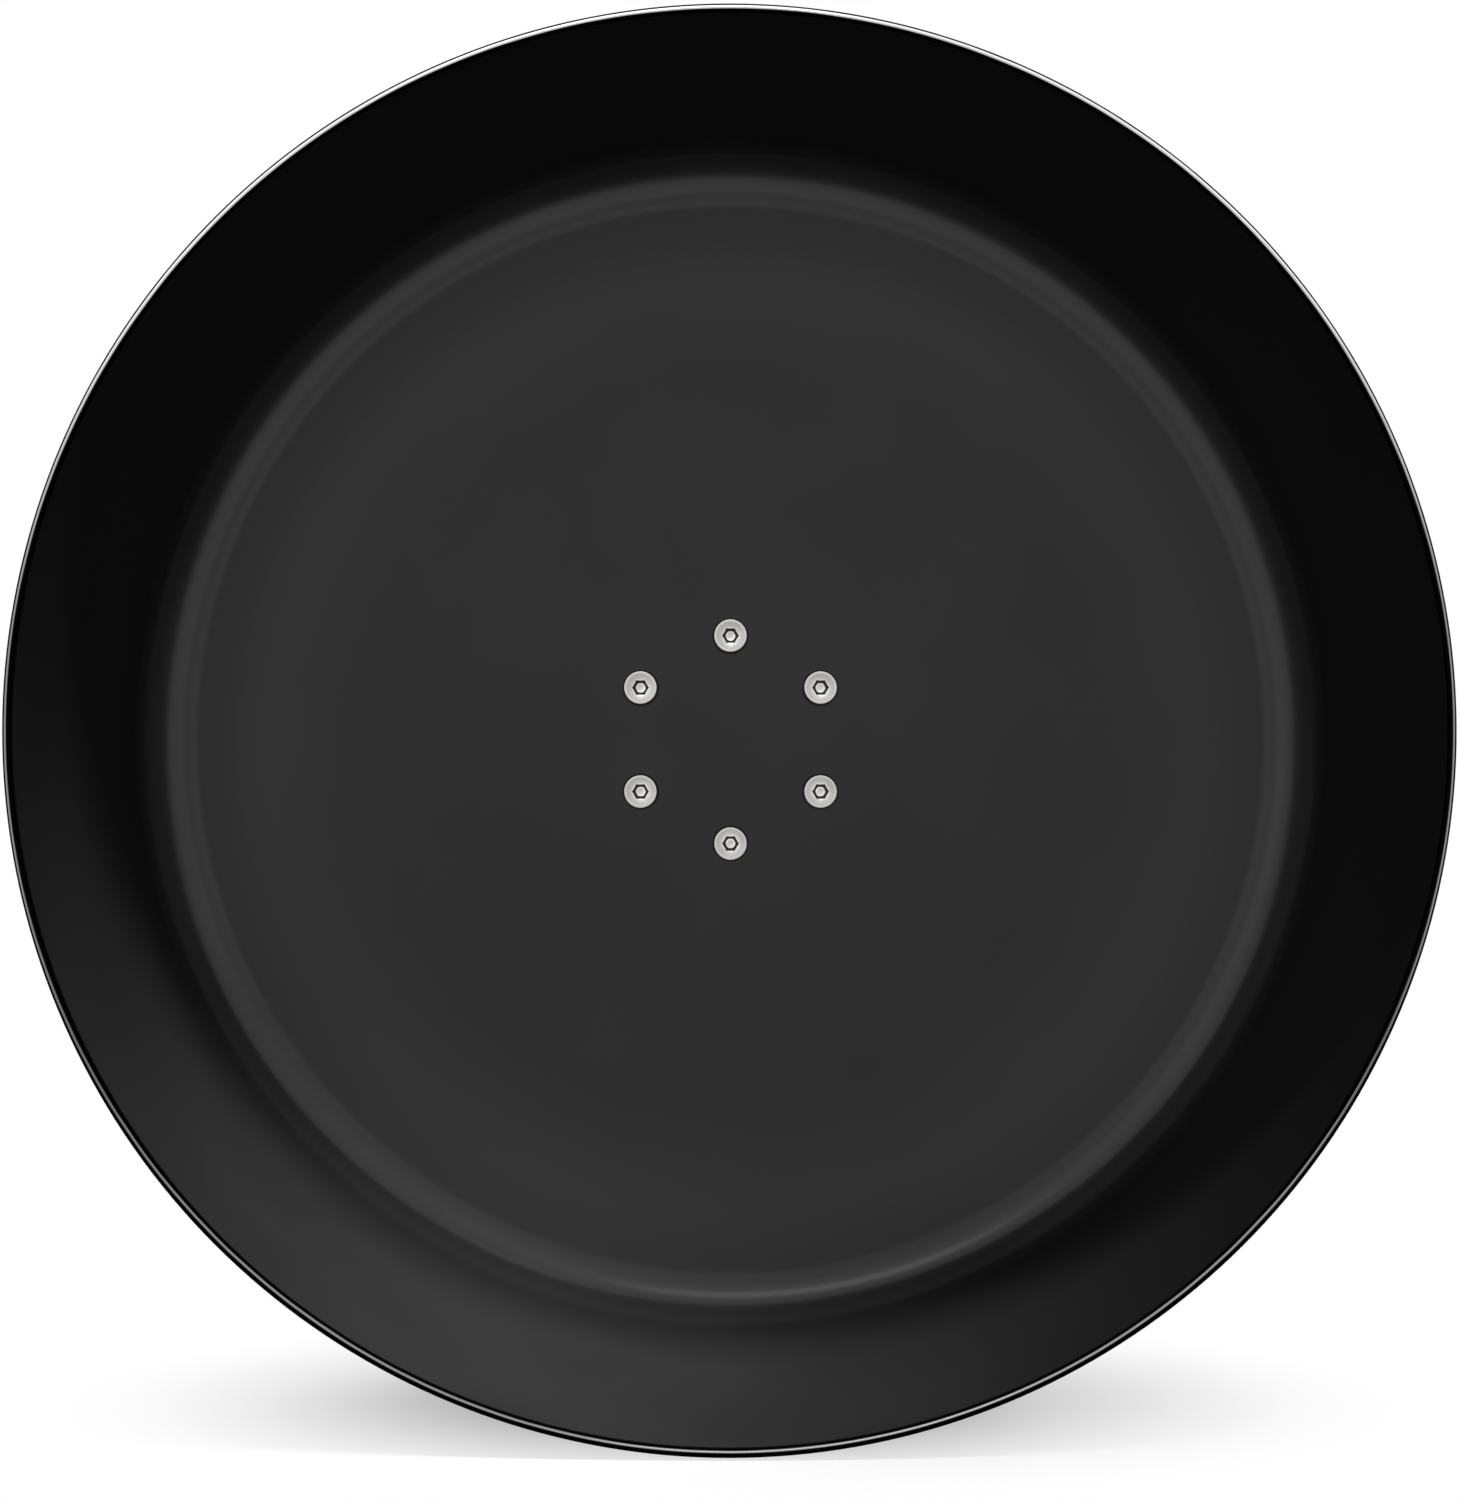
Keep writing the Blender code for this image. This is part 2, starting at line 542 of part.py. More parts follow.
def track_arc(side):
    """The ball track's section from one shoulder to the other: side 1 opens outwards, side -1 inwards."""
    half_turn = math.degrees(math.acos((TRACK_RADIUS - RACE_SHOULDER) / TRACK_RADIUS))
    centre = (PITCH_RADIUS, 0.0)
    if side > 0:
        return arc(centre, TRACK_RADIUS, -half_turn, half_turn, ARC_STEPS)
    return arc(centre, TRACK_RADIUS, 180 - half_turn, 180 + half_turn, ARC_STEPS)


def outer_race(name, parent, middle):
    """Chamfered outside, and inside a seal seat, the ball track and the other seal seat."""
    top, chamfer = HALF_BEARING, BEARING_CHAMFER
    outside = [(BEARING_RADIUS - chamfer, top), (BEARING_RADIUS, top - chamfer)]
    outside += [(radius, -height) for radius, height in reversed(outside)]
    seat = top - SEAL_RECESS - SEAL_THICKNESS - SEAL_GAP
    lower = [(SEAL_SEAT_RADIUS, -top), (SEAL_SEAT_RADIUS, -seat), (OUTER_SHOULDER_RADIUS, -seat)]
    upper = [(radius, -height) for radius, height in reversed(lower)]
    race = turned(name, outside + lower + track_arc(1) + upper, parent, middle, RACE_STEPS)
    return finished(race, BEARING_STEEL)


def inner_race(name, parent, middle):
    """Ball track outside and a plain bore inside."""
    upper = [(RACE_BORE_RADIUS, HALF_BEARING), (INNER_SHOULDER_RADIUS, HALF_BEARING)]
    lower = [(radius, -height) for radius, height in reversed(upper)]
    race = turned(name, upper + track_arc(-1) + lower, parent, middle, RING_STEPS)
    return finished(race, BEARING_STEEL)


def seal(name, parent, front):
    radius = SEAL_SEAT_RADIUS - SEAL_GAP
    profile = tube_profile(radius, INNER_SHOULDER_RADIUS + SEAL_GAP, SEAL_THICKNESS)
    return finished(turned(name, profile, parent, front), RUBBER)


def ball_retainer(name, parent):
    """A crown retainer: a ring on one side of the balls, with fingers between them."""
    base = HALF_BEARING - SEAL_RECESS - SEAL_THICKNESS - SEAL_GAP
    outer, inner = PITCH_RADIUS + RETAINER_THICKNESS / 2, PITCH_RADIUS - RETAINER_THICKNESS / 2
    profile = tube_profile(outer, inner, base + RETAINER_OPEN_REACH)
    retainer = turned(name, profile, parent, -base, BALL_COUNT * 3)
    mesh = bpy.data.meshes.new(name + "_pockets")
    edit = bmesh.new()
    for x, y in circle_places(PITCH_RADIUS, BALL_COUNT):
        place = Matrix.Translation((x, y, 0.0))
        pocket = BALL_RADIUS + POCKET_GAP
        around, down = POCKET_FACETS
        bmesh.ops.create_uvsphere(edit, u_segments=around, v_segments=down, radius=pocket, matrix=place)
    edit.to_mesh(mesh)
    edit.free()
    combine(retainer, new_cutter(name + "_pockets", mesh, parent))
    return finished(retainer, NYLON)


def balls(name, parent):
    mesh = bpy.data.meshes.new(name)
    edit = bmesh.new()
    bmesh.ops.create_icosphere(edit, subdivisions=BALL_STEPS, radius=BALL_RADIUS)
    edit.to_mesh(mesh)
    edit.free()
    mesh.shade_smooth()
    mesh.materials.append(BEARING_STEEL)
    for i, (x, y) in enumerate(circle_places(PITCH_RADIUS, BALL_COUNT)):
        ball = new_object(f"{name}_{i + 1}", mesh, parent)
        ball.location = (x, y, 0.0)


def bearing(side, fixed, spinning, middle):
    """One sealed bearing: its inner race on the axle, its outer race and seals in the housing."""
    inner_race(f"{side}_inner_race", fixed, middle)
    outer_race(f"{side}_outer_race", spinning, middle)
    face = HALF_BEARING - SEAL_RECESS
    seal(f"{side}_seal_a", spinning, middle - face)
    seal(f"{side}_seal_b", spinning, middle + face - SEAL_THICKNESS)
    rolling = new_axis(f"{side}_retainer_line", fixed, middle)
    ball_retainer(f"{side}_retainer", rolling)
    balls(f"{side}_ball", rolling)


def ring_outline():
    """The retaining ring: a strip round the bore, open at one place, with a lug at each end."""
    opening = math.degrees(RING_OPENING) / 2
    lug = math.degrees(RING_LUG_SPREAD)
    start, end = 90 + opening, 450 - opening
    centre = (0.0, 0.0)
    inner = RING_RADIUS - RING_WIDTH
    tip = RING_RADIUS - RING_BITE - RING_LUG_REACH
    outside = arc(centre, RING_RADIUS, start, end, RING_STEPS)
    end_lug = arc(centre, tip, end, end - lug, 1)
    inside = arc(centre, inner, end - lug, start + lug, RING_STEPS)
    start_lug = arc(centre, tip, start + lug, start, 1)
    return outside + end_lug + inside + start_lug


def retaining_ring(parent):
    turn = math.degrees(RING_OPENING + RING_LUG_SPREAD) / 2
    middle = RING_RADIUS - RING_BITE - RING_LUG_REACH / 2
    loops = [ring_outline()]
    for centre in arc((0.0, 0.0), middle, 90 - turn, 90 + turn, 1):
        loops.append(circle_loop(RING_LUG_HOLE_RADIUS, HOLE_SIDES // 2, centre))
    ring = outline_solid("retaining_ring", loops, RING_THICKNESS, parent, RING_FRONT)
    return finished(ring, SPRING_STEEL)


def axle_bolt(parent):
    """Low round head at the pan's end, a plain shank, and a chamfered tip past the wing nut."""
    tip = [(0.0, AXLE_END), (AXLE_RADIUS - AXLE_TIP_CHAMFER, AXLE_END)]
    tip += [(AXLE_RADIUS, AXLE_END - AXLE_TIP_CHAMFER), (AXLE_RADIUS, AXLE_HEAD_REAR)]
    front = AXLE_HEAD_REAR - AXLE_HEAD_HEIGHT
    head = [(AXLE_HEAD_RADIUS, AXLE_HEAD_REAR), (AXLE_HEAD_RADIUS, front + AXLE_HEAD_CHAMFER)]
    head += [(AXLE_HEAD_RADIUS - AXLE_HEAD_CHAMFER, front), (0.0, front)]
    bolt = turned("axle_bolt", tip + head, parent, steps=AXLE_STEPS, ring=False)
    return finished(bolt, ZINC_STEEL)


def sleeve(name, parent, rear, length):
    profile = tube_profile(SLEEVE_RADIUS, AXLE_HOLE_RADIUS, length)
    return finished(turned(name, profile, parent, rear - length, FASTENER_STEPS), ZINC_STEEL)


def jam_nut(parent):
    place = JAM_NUT_REAR - JAM_NUT_HEIGHT
    nut = nut_blank("jam_nut", JAM_NUT_WIDTH, JAM_NUT_HEIGHT, parent, place)
    cut_bore(nut, AXLE_HOLE_RADIUS, JAM_NUT_HEIGHT, parent, place)
    return finished(nut, ZINC_STEEL)


def clamp_plate(name, parent, place):
    """A square plate with round corners and softened edges, bored for the axle."""
    loops = [rounded_square(PLATE_WIDTH, PLATE_CORNER_RADIUS), circle_loop(AXLE_HOLE_RADIUS)]
    plate = outline_solid(name, loops, PLATE_THICKNESS, parent, place)
    bevel = plate.modifiers.new("Rounded edges", "BEVEL")
    bevel.width = PLATE_EDGE_ROUND
    bevel.segments = 1
    bevel.limit_method = "ANGLE"
    bevel.angle_limit = math.radians(60)
    return finished(plate, ZINC_STEEL)


def rubber_pad(name, parent, place):
    width = PLATE_WIDTH - PAD_MARGIN * 2
    loops = [rounded_square(width, PLATE_CORNER_RADIUS - PAD_MARGIN), circle_loop(AXLE_HOLE_RADIUS)]
    return finished(outline_solid(name, loops, PAD_THICKNESS, parent, place), RUBBER)


def clamp_washer(parent, place):
    profile = tube_profile(CLAMP_WASHER_RADIUS, AXLE_HOLE_RADIUS, CLAMP_WASHER_THICKNESS)
    return finished(turned("plain_washer", profile, parent, place), ZINC_STEEL)


def wing_outline():
    """Both wings in one loop, X across the nut and Y up it: a flared root, a round tip and a hollow top."""
    tip_centre = (WING_SPAN / 2 - WING_TIP_RADIUS, WING_HEIGHT - WING_TIP_RADIUS)
    inner = WING_NUT_TOP_RADIUS * WING_ROOT_SHARE
    low, high = WING_ROOT_HEIGHT, WING_NUT_HUB_HEIGHT - WING_ROOT_HEIGHT
    root = WING_NUT_HUB_RADIUS
    lower = [(inner, low), (root, low)]
    tip = arc(tip_centre, WING_TIP_RADIUS, *WING_TIP_TURN, ARC_STEPS * 2)
    upper = [(WING_NUT_TOP_RADIUS, high), (inner, high)]
    right = lower + tip + upper
    return right + [(-x, y) for x, y in reversed(right)]


def wing_nut(parent):
    """Tapered hub with two thin wings joined to it, bored for the axle."""
    rim = WING_NUT_CHAMFER
    hub_profile = [(0.0, WING_NUT_HUB_HEIGHT), (WING_NUT_TOP_RADIUS - rim, WING_NUT_HUB_HEIGHT)]
    hub_profile += [(WING_NUT_TOP_RADIUS, WING_NUT_HUB_HEIGHT - rim), (WING_NUT_HUB_RADIUS, rim)]
    hub_profile += [(WING_NUT_HUB_RADIUS - rim, 0.0), (0.0, 0.0)]
    hub = turned("wing_nut", hub_profile, parent, steps=AXLE_STEPS, ring=False)
    wings = outline_solid("wings", [wing_outline()], WING_THICKNESS, parent, -WING_THICKNESS / 2, CUTTERS)
    wings.data.transform(Matrix.Rotation(math.radians(90), 4, "X"))
    wings.location.z = 0.0
    wings.hide_render = True
    wings.display_type = "WIRE"
    combine(hub, wings, "UNION")
    cut_bore(hub, AXLE_HOLE_RADIUS, WING_NUT_HUB_HEIGHT, parent)
    return finished(hub, ZINC_STEEL)


def build():
    axle_line = new_axis("axle_line")
    axle_line.rotation_euler = (math.radians(-90), 0.0, 0.0)
    wheel_line = new_axis("wheel_line", axle_line)
    clamp_line = new_axis("clamp_line", axle_line)
    nut_line = new_axis("wing_nut_line", clamp_line, WING_NUT_FRONT)

    running_pan(wheel_line)
    bearing_housing(wheel_line)
    pan_screws(wheel_line)
    flange_washers(wheel_line)
    lock_nuts(wheel_line)
    retaining_ring(wheel_line)
    bearing("front", axle_line, wheel_line, FRONT_BEARING_MIDDLE)
    bearing("rear", axle_line, wheel_line, REAR_BEARING_MIDDLE)

    axle_bolt(axle_line)
    sleeve("front_shim", axle_line, SHIM_REAR, SHIM_THICKNESS)
    sleeve("centre_spacer", axle_line, CENTRE_SPACER_REAR, CENTRE_SPACER_LENGTH)
    sleeve("rear_spacer", axle_line, REAR_SPACER_REAR, REAR_SPACER_LENGTH)
    jam_nut(axle_line)
    clamp_plate("inner_clamp_plate", axle_line, INNER_PLATE_REAR - PLATE_THICKNESS)
    rubber_pad("inner_pad", axle_line, -PAD_THICKNESS)

    rubber_pad("outer_pad", clamp_line, CAGE_GAP)
    clamp_plate("outer_clamp_plate", clamp_line, OUTER_PLATE_FRONT)
    clamp_washer(clamp_line, CLAMP_WASHER_FRONT)
    wing_nut(nut_line)


build()
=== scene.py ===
"""Small animal exercise wheel: the finished surfaces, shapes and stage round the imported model.

Lengths are metres. The wheel turns about the Y axis and its open front faces -Y. Turned outlines are written
as (radius, place along Y), and flat outlines as (X, Z) or, for the wings, (X, Y).
"""

import json
import math

import bmesh
import bpy
from bpy.props import FloatProperty, FloatVectorProperty, IntProperty, PointerProperty
from mathutils import Matrix, Vector


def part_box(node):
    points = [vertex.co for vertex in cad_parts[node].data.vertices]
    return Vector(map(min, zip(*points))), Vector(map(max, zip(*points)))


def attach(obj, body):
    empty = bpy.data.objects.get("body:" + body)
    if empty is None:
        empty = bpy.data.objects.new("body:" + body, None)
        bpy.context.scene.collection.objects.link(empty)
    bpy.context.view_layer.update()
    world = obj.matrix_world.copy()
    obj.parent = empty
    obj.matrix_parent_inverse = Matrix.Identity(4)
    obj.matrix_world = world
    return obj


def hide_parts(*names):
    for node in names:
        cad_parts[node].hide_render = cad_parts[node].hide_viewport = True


bl_info = {
    "name": "Small Animal Exercise Wheel",
    "version": (1, 0, 0),
    "blender": (4, 5, 0),
    "location": "View3D > Sidebar > Wheel",
    "description": "Builds a pan wheel on a sealed bearing housing, with its cage clamp and its stage",
    "category": "Add Mesh",
}

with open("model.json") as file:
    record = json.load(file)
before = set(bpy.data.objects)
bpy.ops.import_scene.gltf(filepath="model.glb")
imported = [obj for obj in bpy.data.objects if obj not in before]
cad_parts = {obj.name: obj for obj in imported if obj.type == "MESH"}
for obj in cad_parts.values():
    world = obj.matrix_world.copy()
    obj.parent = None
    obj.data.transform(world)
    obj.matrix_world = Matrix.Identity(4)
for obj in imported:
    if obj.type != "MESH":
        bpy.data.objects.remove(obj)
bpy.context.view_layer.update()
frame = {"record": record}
MM = 0.001
FIT = 0.3 * MM  # room between a shaft and its bore, all round
SEAL_SEAT = 0.95 * MM  # how far a bearing's seals stand into it
SHARP_ANGLE = math.radians(30)
TOP = math.radians(90)  # the first screw's place on the circle
# Black for painted shade on the coat: the bead and the rings round the screw heads.
PAINTED_SHADE_BLACK = (0.002, 0.002, 0.002)
# The bead's worn steel line: light at the top as a painted highlight, darker elsewhere as painted shade.
TOP_LIT_BARE_STEEL = (0.95, 0.95, 0.96)
SHADED_BARE_STEEL = (0.26, 0.26, 0.265)


# Where the pieces are, and what colour the record gives them


def along(node):
    """Where a node starts and ends along the axle, from the pan towards the cage wall."""
    low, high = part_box(node)
    return low[1], high[1]


def slot_colour(name):
    for entry in frame["record"]["materials"]:
        if entry["slot"] == name:
            return tuple(entry["base_color"])
    raise RuntimeError(f"The record has no material slot named {name}")


# Sizes and colours that a user may change


def length(name, description, default, low=0.0, high=1.0):
    return FloatProperty(
        name=name, description=description, default=default, min=low, max=high, unit="LENGTH", precision=5
    )


def colour(name, description, slot, factor=1.0):
    default = tuple(channel * factor for channel in slot_colour(slot))
    return FloatVectorProperty(
        name=name, description=description, default=default, size=3, min=0.0, max=1.0, subtype="COLOR"
    )


def power(name, description, default):
    return FloatProperty(name=name, description=description, default=default, min=0.0, unit="POWER")


class PanSettings(bpy.types.PropertyGroup):
    radius: length("Rim Radius", "Outside of the curled rim", 190.5 * MM)
    depth: length("Depth", "From the rim to the back's rear face", 127 * MM)
    wall: length("Wall", "Thickness of the sheet", 1.2 * MM)
    bend: length("Bend Radius", "Inside the bend between the back and the wall", 15 * MM)
    draft: FloatProperty(
        name="Draft", description="How far the wall leans outwards", default=math.radians(1), subtype="ANGLE"
    )
    coat: colour("Coat", "Baked satin coating", "black_coat")


class FastenerSettings(bpy.types.PropertyGroup):
    count: IntProperty(name="Screws", description="Screws on the circle", default=6, min=3, max=12)
    circle: length("Screw Circle", "Radius of the circle of screws", 33.37 * MM)
    shank: length("Shank Radius", "Outside of the thread", 3 * MM)
    head: length("Head Radius", "Widest part of the low head", 5.25 * MM)
    socket: length("Socket Width", "Across the socket's flats", 4 * MM)
    nut_width: length("Nut Width", "Across the lock nut's flats", 10 * MM)
    steel: colour("Screw Steel", "Stainless steel", "stainless")
    zinc: colour("Zinc", "Plating on washers, nuts, plates and axle", "zinc_steel")


class HousingSettings(bpy.types.PropertyGroup):
    boss: length("Boss Radius", "Outside of the boss at its rear end", 20.8 * MM)
    bore: length("Bore Radius", "Seat of the outer races", 13.3 * MM)
    pocket: length("Pocket Radius", "Bore round the axle's head", 11.68 * MM)
    flange: length("Flange Thickness", "Of the part that the screws go through", 6 * MM)
    rib: length("Rib Thickness", "Of each stiffening rib", 4 * MM)
    rib_height: length("Rib Height", "How far the ribs climb the boss", 20 * MM)
    fillet: length("Fillet", "Radius at the foot of the boss", 3 * MM)
    grain: length("Casting Grain", "Cell size used to melt the casting's edges together", 0.75 * MM, 0.3 * MM)
    metal: colour("Cast Metal", "Cast aluminium", "cast_aluminium")


class BearingSettings(bpy.types.PropertyGroup):
    radius: length("Outside Radius", "Of the outer race", 13 * MM)
    pitch: length("Pitch Radius", "Circle of the balls' middles", 9 * MM)
    ball: length("Ball Radius", "Of each ball", 2.38 * MM)
    balls: IntProperty(name="Balls", description="Balls in each bearing", default=7, min=3, max=12)
    steel: colour("Race Steel", "Ground races and balls", "bearing_steel")
    spring: colour("Ring Steel", "Retaining ring", "spring_steel")
    cage: colour("Retainer", "Moulded ball retainer", "nylon")
    seal: colour("Seal", "Rubber seals and clamp pads", "rubber")


class AxleSettings(bpy.types.PropertyGroup):
    radius: length("Axle Radius", "Outside of the thread", 5 * MM)
    head: length("Head Radius", "Of the low round head", 8 * MM)
    pitch: length("Thread Pitch", "Travel for one turn", 1.5 * MM, 0.5 * MM)
    sleeve: length("Sleeve Radius", "Outside of the spacers", 7 * MM)
    nut_width: length("Jam Nut Width", "Across the flats", 16 * MM)


class ClampSettings(bpy.types.PropertyGroup):
    width: length("Plate Width", "Side of each square plate", 90 * MM)
    corner: length("Corner Radius", "Of the plates", 14 * MM)
    margin: length("Pad Margin", "Plate left bare round its pad", 3 * MM)
    washer: length("Washer Radius", "Under the wing nut", 10.5 * MM)
    hub: length("Hub Radius", "Of the wing nut at its seat", 10 * MM)
    span: length("Wing Span", "Across both wings", 51 * MM)
    wing: length("Wing Thickness", "Of each wing", 2.8 * MM)


class StageSettings(bpy.types.PropertyGroup):
    distance: length("Camera Distance", "From the cage wall to the camera", 0.72, 0.1, 5.0)
    lens: FloatProperty(name="Lens", description="Focal length in millimetres", default=49.4, min=10, max=300)
    floor: FloatVectorProperty(
        name="Floor", description="Colour of the floor", default=(0.8, 0.8, 0.8), min=0, max=1, subtype="COLOR"
    )
    key: power("Key Light", "Of the spotlight above", 88.0)
    fill: power("Fill Light", "Of each soft panel", 1.0)
    glint: power("Glint Light", "Of the panel that only gloss shows", 1.0)
    front: FloatProperty(name="Front Light", description="Strength of the light from the front", default=1.65, min=0)


class WheelSettings(bpy.types.PropertyGroup):
    pan: PointerProperty(type=PanSettings, name="Pan", description="The running pan")
    fasteners: PointerProperty(type=FastenerSettings, name="Fasteners", description="Screws, washers and nuts")
    housing: PointerProperty(type=HousingSettings, name="Housing", description="The cast bearing housing")
    bearings: PointerProperty(type=BearingSettings, name="Bearings", description="Both ball bearings")
    axle: PointerProperty(type=AxleSettings, name="Axle", description="The axle and what is stacked on it")
    clamp: PointerProperty(type=ClampSettings, name="Clamp", description="The cage clamp and its wing nut")
    stage: PointerProperty(type=StageSettings, name="Stage", description="Floor, lamps and camera")


def settings():
    return bpy.context.scene.exercise_wheel


# Nodes


class Nodes:
    """Adds nodes to one tree: settings first, then the values or links of the sockets."""

    def __init__(self, tree):
        self.tree = tree

    def node(self, kind, inputs=None, **options):
        made = self.tree.nodes.new(kind)
        for name, option in options.items():
            setattr(made, name, option)
        for name, given in (inputs or {}).items():
            given = given.outputs[0] if isinstance(given, bpy.types.Node) else getattr(given, "socket", given)
            if isinstance(given, bpy.types.NodeSocket):
                self.tree.links.new(given, made.inputs[name])
            else:
                made.inputs[name].default_value = given
        return made

    def maths(self, operation, *numbers):
        return self.value(self.node("ShaderNodeMath", dict(enumerate(numbers)), operation=operation))

    def value(self, made, output=0):
        return Value(self, made.outputs[output])


class Value:
    """A number that varies, from a socket. Sums written with it add their Math nodes."""

    def __init__(self, nodes, socket):
        self.nodes, self.socket = nodes, socket

    def __add__(self, other):
        return self.nodes.maths("ADD", self, other)

    def __radd__(self, other):
        return self.nodes.maths("ADD", other, self)

    def __sub__(self, other):
        return self.nodes.maths("SUBTRACT", self, other)

    def __rsub__(self, other):
        return self.nodes.maths("SUBTRACT", other, self)

    def __mul__(self, other):
        return self.nodes.maths("MULTIPLY", self, other)

    def __rmul__(self, other):
        return self.nodes.maths("MULTIPLY", other, self)

    def __truediv__(self, other):
        return self.nodes.maths("DIVIDE", self, other)

    def __rtruediv__(self, other):
        return self.nodes.maths("DIVIDE", other, self)

    def __neg__(self):
        return self.nodes.maths("MULTIPLY", self, -1.0)

    def sine(self):
        return self.nodes.maths("SINE", self)

    def least(self, other):
        return self.nodes.maths("MINIMUM", self, other)

    def most(self, other):
        return self.nodes.maths("MAXIMUM", self, other)

    def between(self, low, high):
        """0 below low and 1 above high, with a soft step from one to the other."""
        inputs = {"Value": self, "From Min": low, "From Max": high}
        return self.nodes.value(self.nodes.node("ShaderNodeMapRange", inputs, interpolation_type="SMOOTHSTEP"))


# Finishes


class Finish(Nodes):
    """A material and the textures that its pattern is built from, all on Object coordinates."""

    def __init__(self, name):
        self.material = bpy.data.materials.new(name)
        self.material.use_nodes = True
        self.material.node_tree.nodes.clear()
        super().__init__(self.material.node_tree)
        self.place = self.node("ShaderNodeTexCoord").outputs["Object"]

    def stretched(self, scale):
        return self.node("ShaderNodeMapping", {"Vector": self.place, "Scale": scale})

    def noise(self, scale, detail=2.0, rough=0.5, place=None):
        inputs = {"Vector": place or self.place, "Scale": scale, "Detail": detail, "Roughness": rough}
        return self.value(self.node("ShaderNodeTexNoise", inputs))

    def cells(self, scale):
        """Distance from the middle of the nearest of many scattered cells."""
        return self.value(self.node("ShaderNodeTexVoronoi", {"Vector": self.place, "Scale": scale}))

    def span(self, vector, kept):
        """Length of a vector, of which only some axes are kept."""
        flat = self.node("ShaderNodeVectorMath", {0: vector, 1: kept}, operation="MULTIPLY")
        return self.value(self.node("ShaderNodeVectorMath", {0: flat}, operation="LENGTH"), 1)

    def from_axle(self):
        """Distance from the axle's line."""
        return self.span(self.place, (1.0, 0.0, 1.0))

    def from_screws(self, count, circle):
        """Distance from the nearest screw's axis, with the first screw at the top."""
        turn = math.tau / count
        angle = self.maths("ARCTAN2", self.along(0), self.along(2))
        off = angle - self.maths("ROUND", angle / turn) * turn
        radius = self.from_axle()
        across, out = radius * self.maths("SINE", off), radius * self.maths("COSINE", off) - circle
        return self.maths("SQRT", across * across + out * out)

    def along(self, axis):
        """Place along X, Y or Z. Y is the axle's line."""
        return self.value(self.node("ShaderNodeSeparateXYZ", {0: self.place}), axis)

    def stored(self, name):
        """A number kept on the piece's own points."""
        return self.value(self.node("ShaderNodeAttribute", attribute_name=name), 2)

    def mix(self, factor, first, second):
        """Colours go through the Mix node."""
        inputs = {0: factor, 6: opaque(first), 7: opaque(second)}
        return self.node("ShaderNodeMix", inputs, data_type="RGBA").outputs[2]

    def bump(self, height, distance, strength=1.0):
        inputs = {"Height": height, "Distance": distance, "Strength": strength}
        return self.node("ShaderNodeBump", inputs)

    def surface(self, **inputs):
        named = {name.replace("_", " "): given for name, given in inputs.items()}
        shader = self.node("ShaderNodeBsdfPrincipled", named)
        self.node("ShaderNodeOutputMaterial", {"Surface": shader})
        return self.material


def opaque(tint):
    """A colour with full alpha, or a link as it is."""
    return (*tint, 1.0) if isinstance(tint, tuple) else tint


def shade(tint, factor):
    return tuple(min(1.0, channel * factor) for channel in tint)


